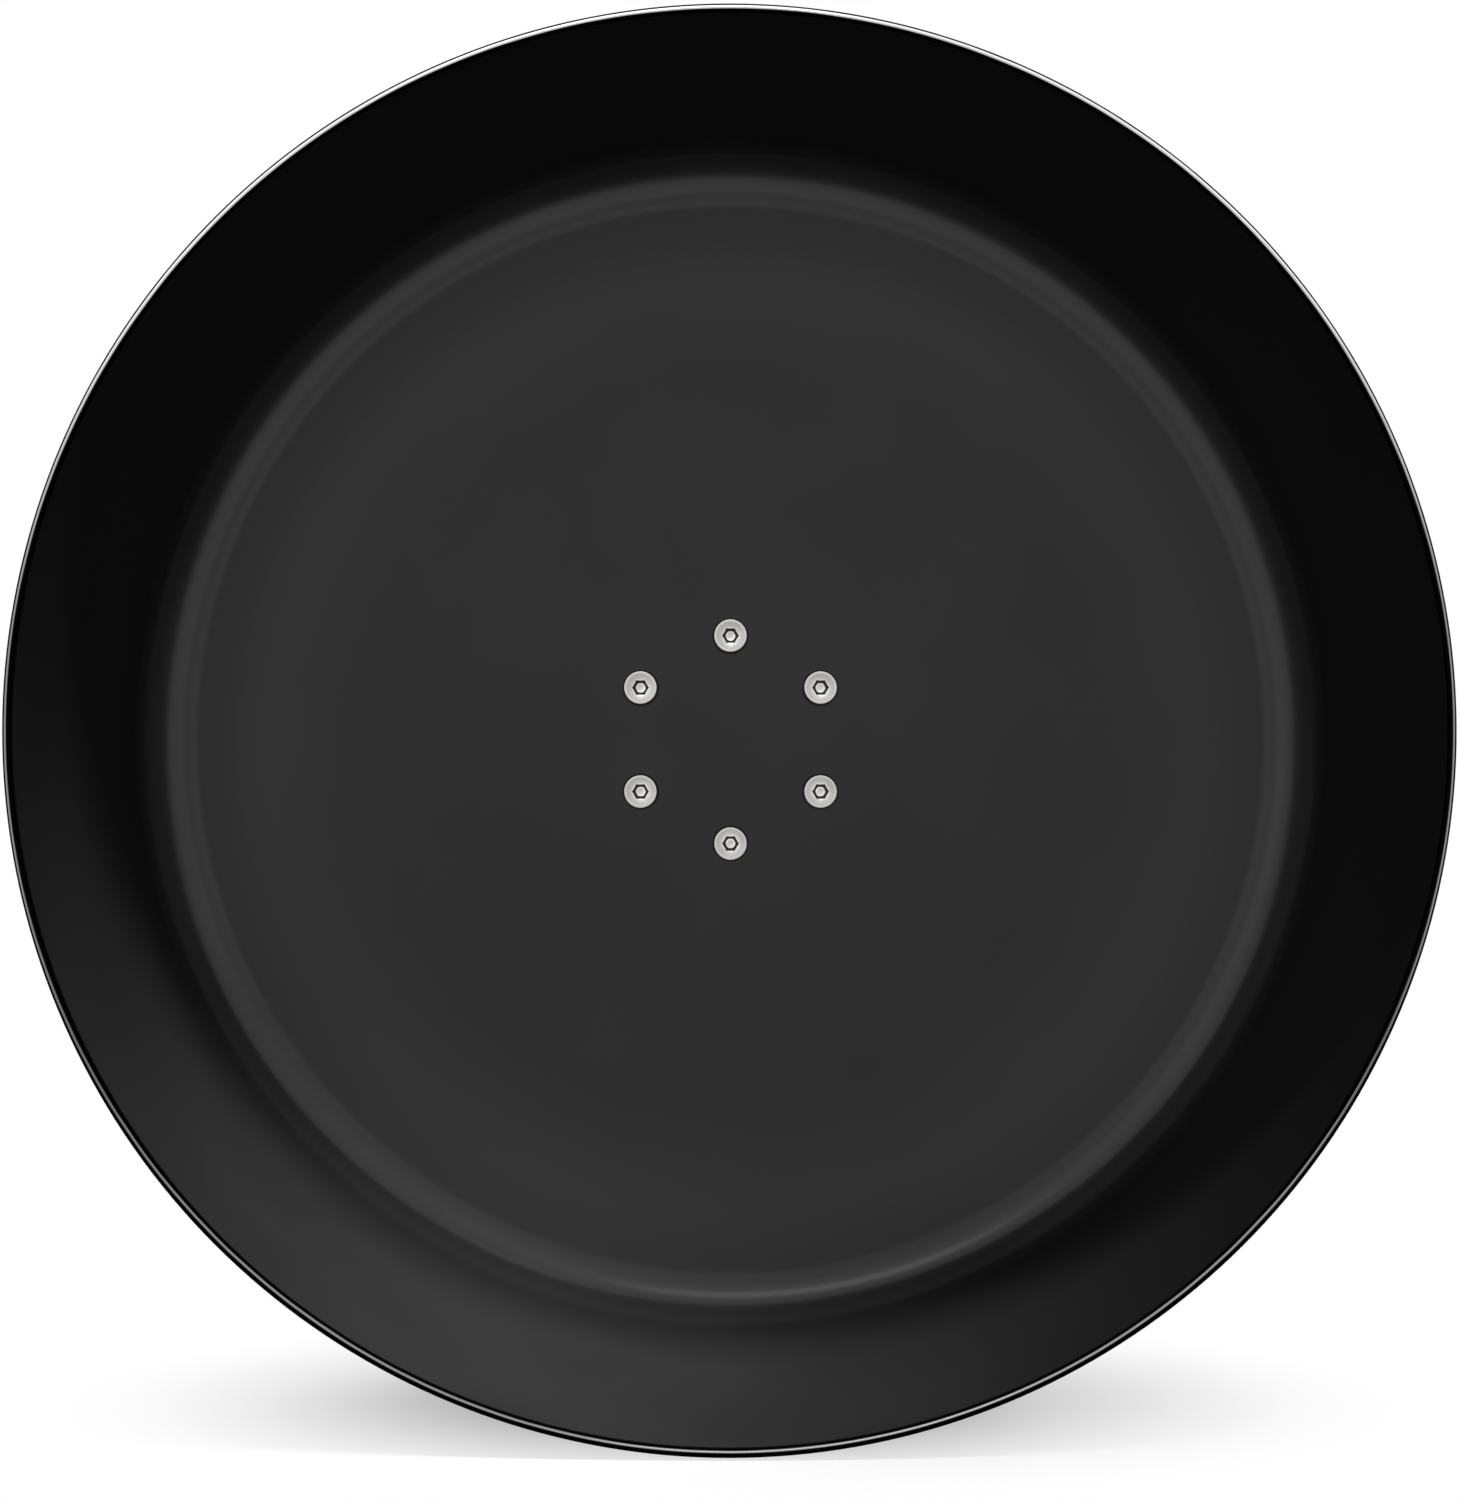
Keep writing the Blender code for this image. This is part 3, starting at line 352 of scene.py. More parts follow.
def satin_coat(tint, pan, screws):
    """Baked coating: a fine orange peel, slightly uneven gloss, a few specks, a painted light ring near the edge of
    the flat back, a painted shadow ring round the screw heads, a bead painted black as painted shade, a running wall
    dulled by use, and a bright line where the bead's crest is worn, set further in at the bottom and lighter at the
    top as a painted highlight.
    """
    coat = Finish("satin_black_coat")
    peel = coat.noise(700, 2.0) * 0.7 + coat.noise(2600, 1.0) * 0.3
    cloud = coat.noise(22, 3.0)
    specks = 1 - coat.cells(380).between(0.03, 0.09)
    base = coat.mix(cloud.between(0.3, 0.75) * 0.3 + specks * 0.2, shade(tint, 0.88), shade(tint, 1.3))
    front = along("running_pan")[0] + pan.wall
    # high and low mark the top and the bottom, where the bead's line is painted lighter and set further in, as a
    # painted highlight of light from above.
    place, high, low = coat.along(1), coat.along(2).between(0.02, 0.14), 1 - coat.along(2).between(-0.16, -0.02)
    # bead marks the curled rim, which is painted black as painted shade, a dark outline round the rim.
    radius, bead = coat.from_axle(), 1 - place.between(front + 0.4 * MM, front + 1.2 * MM)
    lean = radius + (place - front) * math.tan(pan.draft)
    bend = front + pan.depth - pan.bend
    off_wall = lean.between(pan.radius - 1.6 * pan.wall, pan.radius - 1.4 * pan.wall)
    scuffed = 1 - place.between(bend - 14 * MM, bend).most(off_wall)
    # The bead's bright line: the coat worn through to steel, and also a painted highlight, set further in at the
    # bottom and lighter at the top as if lit from above.
    crest = radius + coat.noise(90, 2.0) * 0.16 * MM + low * 0.8 * MM - pan.radius
    outside = crest.between(-0.72 * MM, -0.62 * MM)
    worn_and_highlight_line = (crest + high * 0.3 * MM).between(-1.3 * MM, -1.1 * MM) * (1 - outside)
    worn_and_highlight_line = worn_and_highlight_line * (1 - place.between(front - 0.1 * MM, front + 0.1 * MM))
    # Painted shadow: a black ring round each screw head stands in for the shade where the head sits on the coat.
    screw_shadow_ring = 1 - coat.from_screws(screws.count, screws.circle).between(screws.head + 0.3 * MM, screws.head + 0.9 * MM)
    flat = pan.radius - pan.bend - 3 * MM
    # Painted light: the back is lightened in a ring just inside the bend, where the wall's shade would darken it.
    painted_light_ring = radius.between(flat - 60 * MM, flat - 4 * MM) * (1 - radius.between(flat - MM, flat + 8 * MM))
    # The coat with its painted light ring, and black for the bead's painted shade and the screws' painted shadow
    # rings.
    coat_with_painted_light_and_shade = coat.mix(bead.most(screw_shadow_ring), coat.mix(painted_light_ring * 0.9, base, shade(tint, 1.6)), PAINTED_SHADE_BLACK)
    # Painted highlight and shade: the line's steel is light at the top and darker elsewhere.
    steel = coat.mix(high, SHADED_BARE_STEEL, TOP_LIT_BARE_STEEL)
    return coat.surface(
        Base_Color=coat.mix(worn_and_highlight_line, coat_with_painted_light_and_shade, steel),
        Metallic=bead.most(screw_shadow_ring),
        Roughness=(cloud * 0.06 + peel * 0.04 + scuffed * 0.12 + 0.17).most(outside * bead * 0.8) * (1 - worn_and_highlight_line * 0.6),
        Specular_IOR_Level=0.03,
        Coat_Weight=(1 - scuffed) * (1 - bead),
        Coat_IOR=1.35,
        Coat_Roughness=0.21,
        Normal=coat.bump(peel + specks * 0.35, 0.012 * MM, 0.7),
    )


def turned_stainless(tint):
    """Screw heads: fine turning marks round each screw's own axis, a socket painted nearly black as painted shade,
    and a painted highlight on its point and on the head's lip.
    """
    steel = Finish("turned_stainless")
    radius, depth = steel.stored("own_radius"), steel.along(1) - along("pan_screw_1")[0]
    marks = (radius * (math.tau / (0.11 * MM))).sine()
    grain = steel.noise(2400, 3.0)
    base = steel.mix(steel.noise(260, 3.0), shade(tint, 1.18), shade(tint, 1.46))
    # Painted highlight: the socket's point is painted brighter and made smoother.
    point = 1 - radius.between(1.5 * MM, 1.6 * MM)
    # Painted highlight: a lighter ring on the lip of the head.
    lip = radius.between(4.3 * MM, 4.6 * MM)
    # Painted shade: the socket's walls are painted nearly black.
    socket = depth.between(0.45 * MM, 0.55 * MM) * (1 - depth.between(2.9 * MM, 3.0 * MM)) * (1 - point)
    socket = socket * (1 - radius.between(3.2 * MM, 3.4 * MM))
    return steel.surface(
        Base_Color=steel.mix(socket, steel.mix(point.most(lip * 0.8), base, shade(tint, 1.75)), shade(tint, 0.12)),
        Metallic=1.0,
        Roughness=grain * 0.1 + 0.17 - point * 0.06,
        Normal=steel.bump(marks * 0.5 + grain * 0.7, 0.004 * MM, 0.6),
    )


def cast_skin(tint):
    """Gravity-cast skin: pebbled, dull, with shallow pits and grey staining."""
    cast = Finish("cast_aluminium_skin")
    pebble = cast.noise(1500, 3.0, 0.6)
    swell = cast.noise(240, 2.0)
    pits = 1 - cast.cells(620).between(0.08, 0.26)
    stain = cast.noise(70, 4.0, 0.6).between(0.35, 0.7)
    base = cast.mix(stain * 0.6 + pits * 0.3, shade(tint, 1.05), shade(tint, 0.7))
    return cast.surface(
        Base_Color=base,
        Metallic=1.0,
        Roughness=pebble * 0.22 + stain * 0.08 + 0.42,
        Normal=cast.bump(pebble * 0.5 + swell * 1.2 - pits * 0.5, 0.09 * MM, 0.9),
    )


def machined_aluminium(tint):
    """Faces and bores cut after casting, bright, with the tool's fine spiral."""
    cut = Finish("machined_aluminium")
    marks = ((cut.from_axle() + cut.along(1)) * (math.tau / (0.22 * MM))).sine()
    smear = cut.noise(300, 3.0)
    base = cut.mix(smear, shade(tint, 1.2), shade(tint, 1.5))
    return cut.surface(
        Base_Color=base, Metallic=1.0, Roughness=smear * 0.12 + 0.24, Normal=cut.bump(marks, 0.006 * MM, 0.5)
    )


def bright_zinc(tint):
    """Zinc plating over drawn steel: fine straight draw lines, a faint blue cast and cloudy gloss."""
    zinc = Finish("bright_zinc")
    lines = zinc.noise(90, 4.0, 0.6, zinc.stretched((60.0, 60.0, 1.6)))
    cloud = zinc.noise(45, 4.0, 0.6)
    tone = zinc.mix(cloud.between(0.3, 0.7), shade(tint, 0.9), (tint[0] * 1.02, tint[1] * 1.05, tint[2] * 1.12))
    base = zinc.mix(lines.between(0.35, 0.75) * 0.35, tone, shade(tint, 0.72))
    return zinc.surface(
        Base_Color=base,
        Metallic=1.0,
        Roughness=cloud * 0.16 + lines * 0.12 + 0.2,
        Normal=zinc.bump(lines * 0.6 + zinc.noise(900, 2.0) * 0.4, 0.012 * MM, 0.6),
    )


def tumbled_zinc(tint):
    """Small plated parts: barrel-tumbled, softly clouded, with tiny dings."""
    zinc = Finish("tumbled_zinc")
    cloud = zinc.noise(180, 4.0, 0.6)
    dings = 1 - zinc.cells(420).between(0.04, 0.16)
    tone = zinc.mix(cloud.between(0.3, 0.7), shade(tint, 0.86), (tint[0] * 1.03, tint[1] * 1.05, tint[2] * 1.1))
    return zinc.surface(
        Base_Color=tone,
        Metallic=1.0,
        Roughness=cloud * 0.2 + dings * 0.08 + 0.22,
        Normal=zinc.bump(zinc.noise(1300, 2.0) * 0.6 - dings * 0.6, 0.014 * MM, 0.7),
    )


def ground_steel(tint):
    """Bearing steel with fine grinding lines round the axle."""
    steel = Finish("ground_bearing_steel")
    lines = steel.noise(1.0, 3.0, 0.7, steel.stretched((12.0, 9000.0, 12.0)))
    haze = steel.noise(240, 3.0)
    base = steel.mix(haze, shade(tint, 0.95), shade(tint, 1.08))
    return steel.surface(
        Base_Color=base,
        Metallic=1.0,
        Roughness=haze * 0.08 + lines * 0.08 + 0.09,
        Normal=steel.bump(lines, 0.002 * MM),
    )


def blackened_steel(tint):
    """Phosphated spring steel, with bright rubbed patches showing through at random."""
    steel = Finish("blackened_spring_steel")
    grain = steel.noise(2200, 3.0, 0.6)
    rubbed = steel.noise(160, 3.0).between(0.55, 0.75)
    base = steel.mix(rubbed * 0.5, tint, shade(tint, 2.4))
    return steel.surface(
        Base_Color=base, Metallic=1.0, Roughness=grain * 0.2 + 0.34, Normal=steel.bump(grain, 0.01 * MM, 0.7)
    )


def moulded_nylon(tint):
    """Natural nylon: slightly mottled, with faint flow lines."""
    nylon = Finish("moulded_nylon")
    flow = nylon.noise(300, 3.0, 0.5, nylon.stretched((1.0, 4.0, 1.0)))
    base = nylon.mix(flow, shade(tint, 0.9), shade(tint, 1.06))
    return nylon.surface(
        Base_Color=base,
        Roughness=flow * 0.14 + 0.4,
        Subsurface_Weight=0.12,
        Subsurface_Radius=(0.001, 0.0008, 0.0006),
        Normal=nylon.bump(nylon.noise(1400, 2.0), 0.01 * MM, 0.6),
    )


def moulded_rubber(tint):
    """Moulded rubber: a fine sandpaper grain and a dusty bloom."""
    rubber = Finish("moulded_rubber")
    grain = rubber.cells(1900) * 0.6 + rubber.noise(900, 3.0) * 0.5
    bloom = rubber.noise(60, 4.0, 0.65).between(0.4, 0.75)
    base = rubber.mix(bloom * 0.6, tint, shade(tint, 1.9))
    return rubber.surface(
        Base_Color=base,
        Roughness=bloom * 0.1 + grain * 0.1 + 0.62,
        Specular_IOR_Level=0.4,
        Normal=rubber.bump(grain, 0.05 * MM, 0.8),
    )


def finish(name):
    """A finish by name, made the first time that a piece asks for it."""
    made = bpy.data.materials.get(name)
    if made:
        return made
    wheel = settings()
    makers = {
        "satin_black_coat": (satin_coat, wheel.pan.coat, wheel.pan, wheel.fasteners),
        "turned_stainless": (turned_stainless, wheel.fasteners.steel),
        "cast_aluminium_skin": (cast_skin, wheel.housing.metal),
        "machined_aluminium": (machined_aluminium, wheel.housing.metal),
        "bright_zinc": (bright_zinc, wheel.fasteners.zinc),
        "tumbled_zinc": (tumbled_zinc, wheel.fasteners.zinc),
        "ground_bearing_steel": (ground_steel, wheel.bearings.steel),
        "blackened_spring_steel": (blackened_steel, wheel.bearings.spring),
        "moulded_nylon": (moulded_nylon, wheel.bearings.cage),
        "moulded_rubber": (moulded_rubber, wheel.bearings.seal),
    }
    maker, tint, *sizes = makers[name]
    return maker(tuple(tint), *sizes)


# Outlines


def arc(centre, radius, start, end, steps):
    """Points of an arc, its angles in degrees from the first axis towards the second."""
    points = []
    for i in range(steps + 1):
        angle = math.radians(start + (end - start) * i / steps)
        points.append((centre[0] + radius * math.cos(angle), centre[1] + radius * math.sin(angle)))
    return points


def on_axle(outline):
    """Whether an outline starts on the axle's line, and so is left open."""
    return outline[0][0] < 0.001 * MM


def eased(outline, ease, steps=3):
    """The outline with its corners rounded off. A point's third number is its own rounding."""
    rounded, count = [], len(outline)
    for i, point in enumerate(outline):
        here = Vector(point[:2])
        before = Vector(outline[i - 1][:2]) - here
        after = Vector(outline[(i + 1) % count][:2]) - here
        reach = min(point[2] if len(point) > 2 else ease, before.length * 0.45, after.length * 0.45)
        at_end = on_axle(outline) and i in (0, count - 1)
        if at_end or reach <= 0 or before.angle(after) > math.radians(165):
            rounded.append(tuple(here))
            continue
        start, end = here + before.normalized() * reach, here + after.normalized() * reach
        for k in range(steps + 1):
            t = k / steps
            rounded.append(tuple(start * (1 - t) ** 2 + here * (2 * t * (1 - t)) + end * t**2))
    return rounded


def clockwise(outline):
    """The outline in the direction that turns its faces outwards."""
    area = sum(a[0] * b[1] - b[0] * a[1] for a, b in zip(outline, outline[1:] + outline[:1]))
    return outline[::-1] if area > 0 else outline


def tube(outer, inner, front, rear):
    return [(inner, front), (outer, front), (outer, rear), (inner, rear)]


def rod(radius, front, rear):
    return [(0.0, front), (radius, front), (radius, rear), (0.0, rear)]


def moved_along(outline, place):
    return [(point[0], point[1] + place, *point[2:]) for point in outline]


def rounded_square(width, corner, steps=12):
    reach = width / 2 - corner
    points = []
    for i, (x, z) in enumerate([(reach, reach), (-reach, reach), (-reach, -reach), (reach, -reach)]):
        points += arc((x, z), corner, 90 * i, 90 * i + 90, steps)
    return points


def hexagon(width):
    """Corners point left and right."""
    return arc((0, 0), width / 2 / math.cos(math.radians(30)), 0, 300, 5)


# Meshes


def show(name, data):
    obj = bpy.data.objects.new(name, data)
    bpy.context.scene.collection.objects.link(obj)
    return obj


def evaluated_mesh(obj):
    bpy.context.view_layer.update()
    return bpy.data.meshes.new_from_object(obj.evaluated_get(bpy.context.evaluated_depsgraph_get()))


def settle(obj):
    """Turns an object's live modifiers into its mesh."""
    mesh = evaluated_mesh(obj)
    obj.modifiers.clear()
    obj.data = mesh
    mesh.name = obj.name
    return obj


def smooth(obj, angle=SHARP_ANGLE):
    obj.data.shade_smooth()
    obj.data.set_sharp_from_angle(angle=angle)
    return obj


def flatten_faces(obj):
    """Keeps broad flat faces flat beside their rounded edges."""
    weights = obj.modifiers.new("Weighted normals", "WEIGHTED_NORMAL")
    weights.keep_sharp = True
    weights.weight = 100
    return settle(obj)


def coated(obj, name):
    obj.data.materials.clear()
    obj.data.materials.append(finish(name))
    return obj


def join(name, *objects):
    edit = bmesh.new()
    for obj in objects:
        edit.from_mesh(obj.data)
    mesh = bpy.data.meshes.new(name)
    edit.to_mesh(mesh)
    edit.free()
    for obj in objects:
        bpy.data.objects.remove(obj)
    return show(name, mesh)


def combine(body, tool, operation="DIFFERENCE"):
    modifier = body.modifiers.new("Combine", "BOOLEAN")
    modifier.operation = operation
    modifier.object = tool
    modifier.solver = "EXACT"
    modifier.material_mode = "TRANSFER"
    settle(body)
    bpy.data.objects.remove(tool)
    return body


def melted(obj, grain, passes, finish_name):
    """Joined shapes made one skin, its edges and creases softened."""
    melt = obj.modifiers.new("Melt together", "REMESH")
    melt.mode = "VOXEL"
    melt.voxel_size = grain
    soften = obj.modifiers.new("Soften the edges", "SMOOTH")
    soften.factor, soften.iterations = 0.5, passes
    return coated(settle(obj), finish_name)


def outline_curve(name, points, closed):
    curve = bpy.data.curves.new(name, "CURVE")
    curve.dimensions = "3D"
    spline = curve.splines.new("POLY")
    spline.points.add(len(points) - 1)
    for target, point in zip(spline.points, points):
        target.co = (*point, 0.0, 1.0)
    spline.use_cyclic_u = closed
    return show(name, curve)


def slab(name, loops, low, high, axis="Y", edge=0.0, steps=2):
    """A flat piece between two heights, with its outline and holes, and its edges rounded.

    On axis Y the loops are (X, Z) and the heights are along Y. On axis Z the loops are (X, Y).
    """
    curve = bpy.data.curves.new(name, "CURVE")
    curve.dimensions = "2D"
    curve.fill_mode = "BOTH"
    curve.extrude = (high - low) / 2 - edge
    curve.bevel_depth = edge
    curve.offset = -edge
    curve.bevel_resolution = steps
    for loop in loops:
        spline = curve.splines.new("POLY")
        spline.points.add(len(loop) - 1)
        for target, point in zip(spline.points, loop):
            target.co = (point[0], point[1], 0.0, 1.0)
        spline.use_cyclic_u = True
    source = show(name, curve)
    mesh = evaluated_mesh(source)
    bpy.data.objects.remove(source)
    edit = bmesh.new()
    edit.from_mesh(mesh)
    bmesh.ops.remove_doubles(edit, verts=edit.verts, dist=0.002 * MM)
    bmesh.ops.recalc_face_normals(edit, faces=edit.faces)
    edit.to_mesh(mesh)
    edit.free()
    middle = (low + high) / 2
    if axis == "Y":
        mesh.transform(Matrix.Translation((0, middle, 0)) @ Matrix.Rotation(math.radians(90), 4, "X"))
    else:
        mesh.transform(Matrix.Translation((0, 0, middle)))
    return smooth(show(name, mesh))


# Geometry Nodes


def new_tree(name, inputs):
    tree = bpy.data.node_groups.new(name, "GeometryNodeTree")
    tree.interface.new_socket("Geometry", in_out="INPUT", socket_type="NodeSocketGeometry")
    for label, kind, default in inputs:
        socket = tree.interface.new_socket(label, in_out="INPUT", socket_type="NodeSocket" + kind)
        if default is not None:
            socket.default_value = default
    tree.interface.new_socket("Geometry", in_out="OUTPUT", socket_type="NodeSocketGeometry")
    nodes = Nodes(tree)
    return tree, nodes, nodes.node("NodeGroupInput").outputs


def end_tree(nodes, geometry, material):
    """Every tree ends in plain geometry with its finish."""
    real = nodes.node("GeometryNodeRealizeInstances", {"Geometry": geometry})
    done = nodes.node("GeometryNodeSetMaterial", {"Geometry": real, "Material": material})
    nodes.node("NodeGroupOutput", {"Geometry": done})


def lathe(nodes, outline, facets, radius):
    """Sweeps an outline round a circle and lays the circle's axis along Y."""
    circle = nodes.node("GeometryNodeCurvePrimitiveCircle", {"Resolution": facets, "Radius": radius})
    swept = nodes.node("GeometryNodeCurveToMesh", {"Curve": circle, "Profile Curve": outline})
    closed = nodes.node("GeometryNodeMergeByDistance", {"Geometry": swept, "Distance": 0.001 * MM})
    turn = {"Geometry": closed, "Rotation": (math.radians(-90), 0.0, 0.0)}
    return nodes.node("GeometryNodeTransform", turn)


def circle_of_points(nodes, count, radius, first, place):
    """Points on a circle round the axle, the first at an angle from X towards Z."""
    ring = nodes.node("GeometryNodeMeshCircle", {"Vertices": count, "Radius": radius})
    turn = nodes.node("ShaderNodeCombineXYZ", {"X": math.radians(90), "Y": -first})
    move = nodes.node("ShaderNodeCombineXYZ", {"Y": place})
    inputs = {"Geometry": ring, "Rotation": turn, "Translation": move}
    return nodes.node("GeometryNodeTransform", inputs)


def turned_tree():
    """Turns an outline curve into a round piece."""
    inputs = [("Facets", "Int", 48), ("Turning Radius", "Float", 0.01), ("Material", "Material", None)]
    tree, nodes, given = new_tree("Turned piece", inputs)
    shape = lathe(nodes, given["Geometry"], given["Facets"], given["Turning Radius"])
    end_tree(nodes, shape, given["Material"])
    return tree


def pan_tree():
    """Spins the pan from its outline and pierces the screw holes in its back."""
    inputs = [
        ("Facets", "Int", 256), ("Turning Radius", "Float", 0.19), ("Holes", "Int", 6),
        ("Hole Circle", "Float", 0.03), ("Hole Radius", "Float", 0.003), ("First Angle", "Float", 0.0),
        ("Back", "Float", -0.05), ("Material", "Material", None),
    ]
    tree, nodes, given = new_tree("Spun pan", inputs)
    shape = lathe(nodes, given["Geometry"], given["Facets"], given["Turning Radius"])
    sizes = {"Vertices": 40, "Radius": given["Hole Radius"], "Depth": 10 * MM}
    punch = nodes.node("GeometryNodeMeshCylinder", sizes)
    upright = nodes.node("GeometryNodeTransform", {"Geometry": punch, "Rotation": (math.radians(90), 0.0, 0.0)})
    first = Value(nodes, given["First Angle"])
    points = circle_of_points(nodes, given["Holes"], given["Hole Circle"], first, given["Back"])
    punches = nodes.node("GeometryNodeInstanceOnPoints", {"Points": points, "Instance": upright})
    real = nodes.node("GeometryNodeRealizeInstances", {"Geometry": punches})
    pierced = nodes.node(
        "GeometryNodeMeshBoolean", {"Mesh 1": shape, "Mesh 2": real}, operation="DIFFERENCE", solver="EXACT"
    )
    end_tree(nodes, pierced, given["Material"])
    return tree


def ring_tree():
    """Sets copies of one piece on a circle, upright or turned to follow the circle."""
    inputs = [
        ("Count", "Int", 6), ("Circle Radius", "Float", 0.03), ("First Angle", "Float", 0.0),
        ("Place", "Float", 0.0), ("Follow", "Float", 0.0), ("Material", "Material", None),
    ]
    tree, nodes, given = new_tree("Ring of pieces", inputs)
    first = Value(nodes, given["First Angle"])
    points = circle_of_points(nodes, given["Count"], given["Circle Radius"], first, given["Place"])
    index = nodes.value(nodes.node("GeometryNodeInputIndex"))
    angle = -(first + index * math.tau / given["Count"]) * given["Follow"]
    turn = nodes.node("ShaderNodeCombineXYZ", {"Y": angle})
    inputs = {"Points": points, "Instance": given["Geometry"], "Rotation": turn}
    copies = nodes.node("GeometryNodeInstanceOnPoints", inputs)
    end_tree(nodes, copies, given["Material"])
    return tree


def thread_tree():
    """Winds a thread's ridge round a core, right-handed, fading in and out over its first and last turns."""
    inputs = [
        ("Core Radius", "Float", 0.004), ("Turns", "Float", 10.0), ("Length", "Float", 0.015),
        ("Start", "Float", 0.0), ("Steps", "Int", 40), ("Material", "Material", None),
    ]
    tree, nodes, given = new_tree("Thread", inputs)
    radius = given["Core Radius"]
    spiral = nodes.node(
        "GeometryNodeCurveSpiral",
        {"Resolution": given["Steps"], "Rotations": given["Turns"], "Start Radius": radius, "End Radius": radius,
         "Height": given["Length"]},
    )
    upright = nodes.node("GeometryNodeSetCurveNormal", {"Curve": spiral}, mode="Z_UP")
    way = nodes.value(nodes.node("GeometryNodeSplineParameter"))
    turns = Value(nodes, given["Turns"])
    fade = (way * turns).least((1 - way) * turns).least(1.0).most(0.02)
    swept = nodes.node(
        "GeometryNodeCurveToMesh",
        {"Curve": upright, "Profile Curve": given["Geometry"], "Scale": fade, "Fill Caps": True},
    )
    start = nodes.node("ShaderNodeCombineXYZ", {"Y": given["Start"]})
    laid = nodes.node(
        "GeometryNodeTransform",
        {"Geometry": swept, "Rotation": (math.radians(-90), 0.0, 0.0), "Translation": start},
    )
    end_tree(nodes, laid, given["Material"])
    return tree


TREES = {"Turned piece": turned_tree, "Spun pan": pan_tree, "Ring of pieces": ring_tree, "Thread": thread_tree}


def shaped(source, tree_name, given, finish_name):
    """Runs a tree on an object and leaves a plain mesh in its place."""
    tree = bpy.data.node_groups.get(tree_name) or TREES[tree_name]()
    modifier = source.modifiers.new(tree_name, "NODES")
    modifier.node_group = tree
    sockets = {item.name: item.identifier for item in tree.interface.items_tree if item.in_out == "INPUT"}
    for label, value in {**given, "Material": finish(finish_name)}.items():
        modifier[sockets[label]] = value
    mesh = evaluated_mesh(source)
    name = source.name
    bpy.data.objects.remove(source)
    if not mesh.polygons:
        raise RuntimeError(f"{tree_name} made nothing for {name}")
    mesh.name = name
    return smooth(show(name, mesh))


def turned(name, outline, facets, finish_name):
    """A round piece on the axle's line from its outline, which starts and ends on that line if it has no bore."""
    reach = max(point[0] for point in outline)
    points = [(radius - reach, -place) for radius, place in clockwise([tuple(p[:2]) for p in outline])]
    curve = outline_curve(name, points, not on_axle(outline))
    return shaped(curve, "Turned piece", {"Facets": facets, "Turning Radius": reach}, finish_name)


def ring_of(name, piece, finish_name, count, radius, first, place=0.0, follow=0.0):
    piece.name = name
    given = {
        "Count": count, "Circle Radius": radius, "First Angle": first, "Place": float(place), "Follow": follow,
    }
    return shaped(piece, "Ring of pieces", given, finish_name)


def thread(name, core, crest, pitch, start, end, finish_name, steps=40):
    """A thread's ridge between two places along the axle."""
    root, top, sink = pitch * 0.75 / 2, pitch * 0.14 / 2, 0.05 * MM
    ridge = [(-sink, root), (0.0, root), (crest - core, top), (crest - core, -top), (0.0, -root), (-sink, -root)]
    curve = outline_curve(name, [(x, -y) for x, y in ridge], True)
    given = {
        "Core Radius": core, "Turns": (end - start) / pitch, "Length": end - start, "Start": start, "Steps": steps,
    }
    return shaped(curve, "Thread", given, finish_name)


def nut_blank(name, width, front, rear, finish_name):
    """A hexagon with the corners of both faces turned away."""
    corner = width / 2 / math.cos(math.radians(30))
    rise = (corner - width / 2) * 0.62
    blank = coated(slab(name, [hexagon(width)], front, rear), finish_name)
    flat = width / 2 * 0.97
    trim = [
        (0.0, front - MM), (flat - MM / 0.62, front - MM), (flat, front), (corner + MM, front + rise + 0.62 * MM),
        (corner + MM, rear - rise - 0.62 * MM), (flat, rear), (flat - MM / 0.62, rear + MM), (0.0, rear + MM),
    ]
    lens = turned(name + "_trim", trim, 72, finish_name)
    return combine(blank, lens, "INTERSECT")


def hand_over(piece, body, slot, *nodes):
    """The finished piece rides on its body and stands for its nodes."""
    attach(piece, body)
    if nodes:
        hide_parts(*nodes)
    return piece


def numbered(name, count):
    return [f"{name}_{i + 1}" for i in range(count)]


# Operators


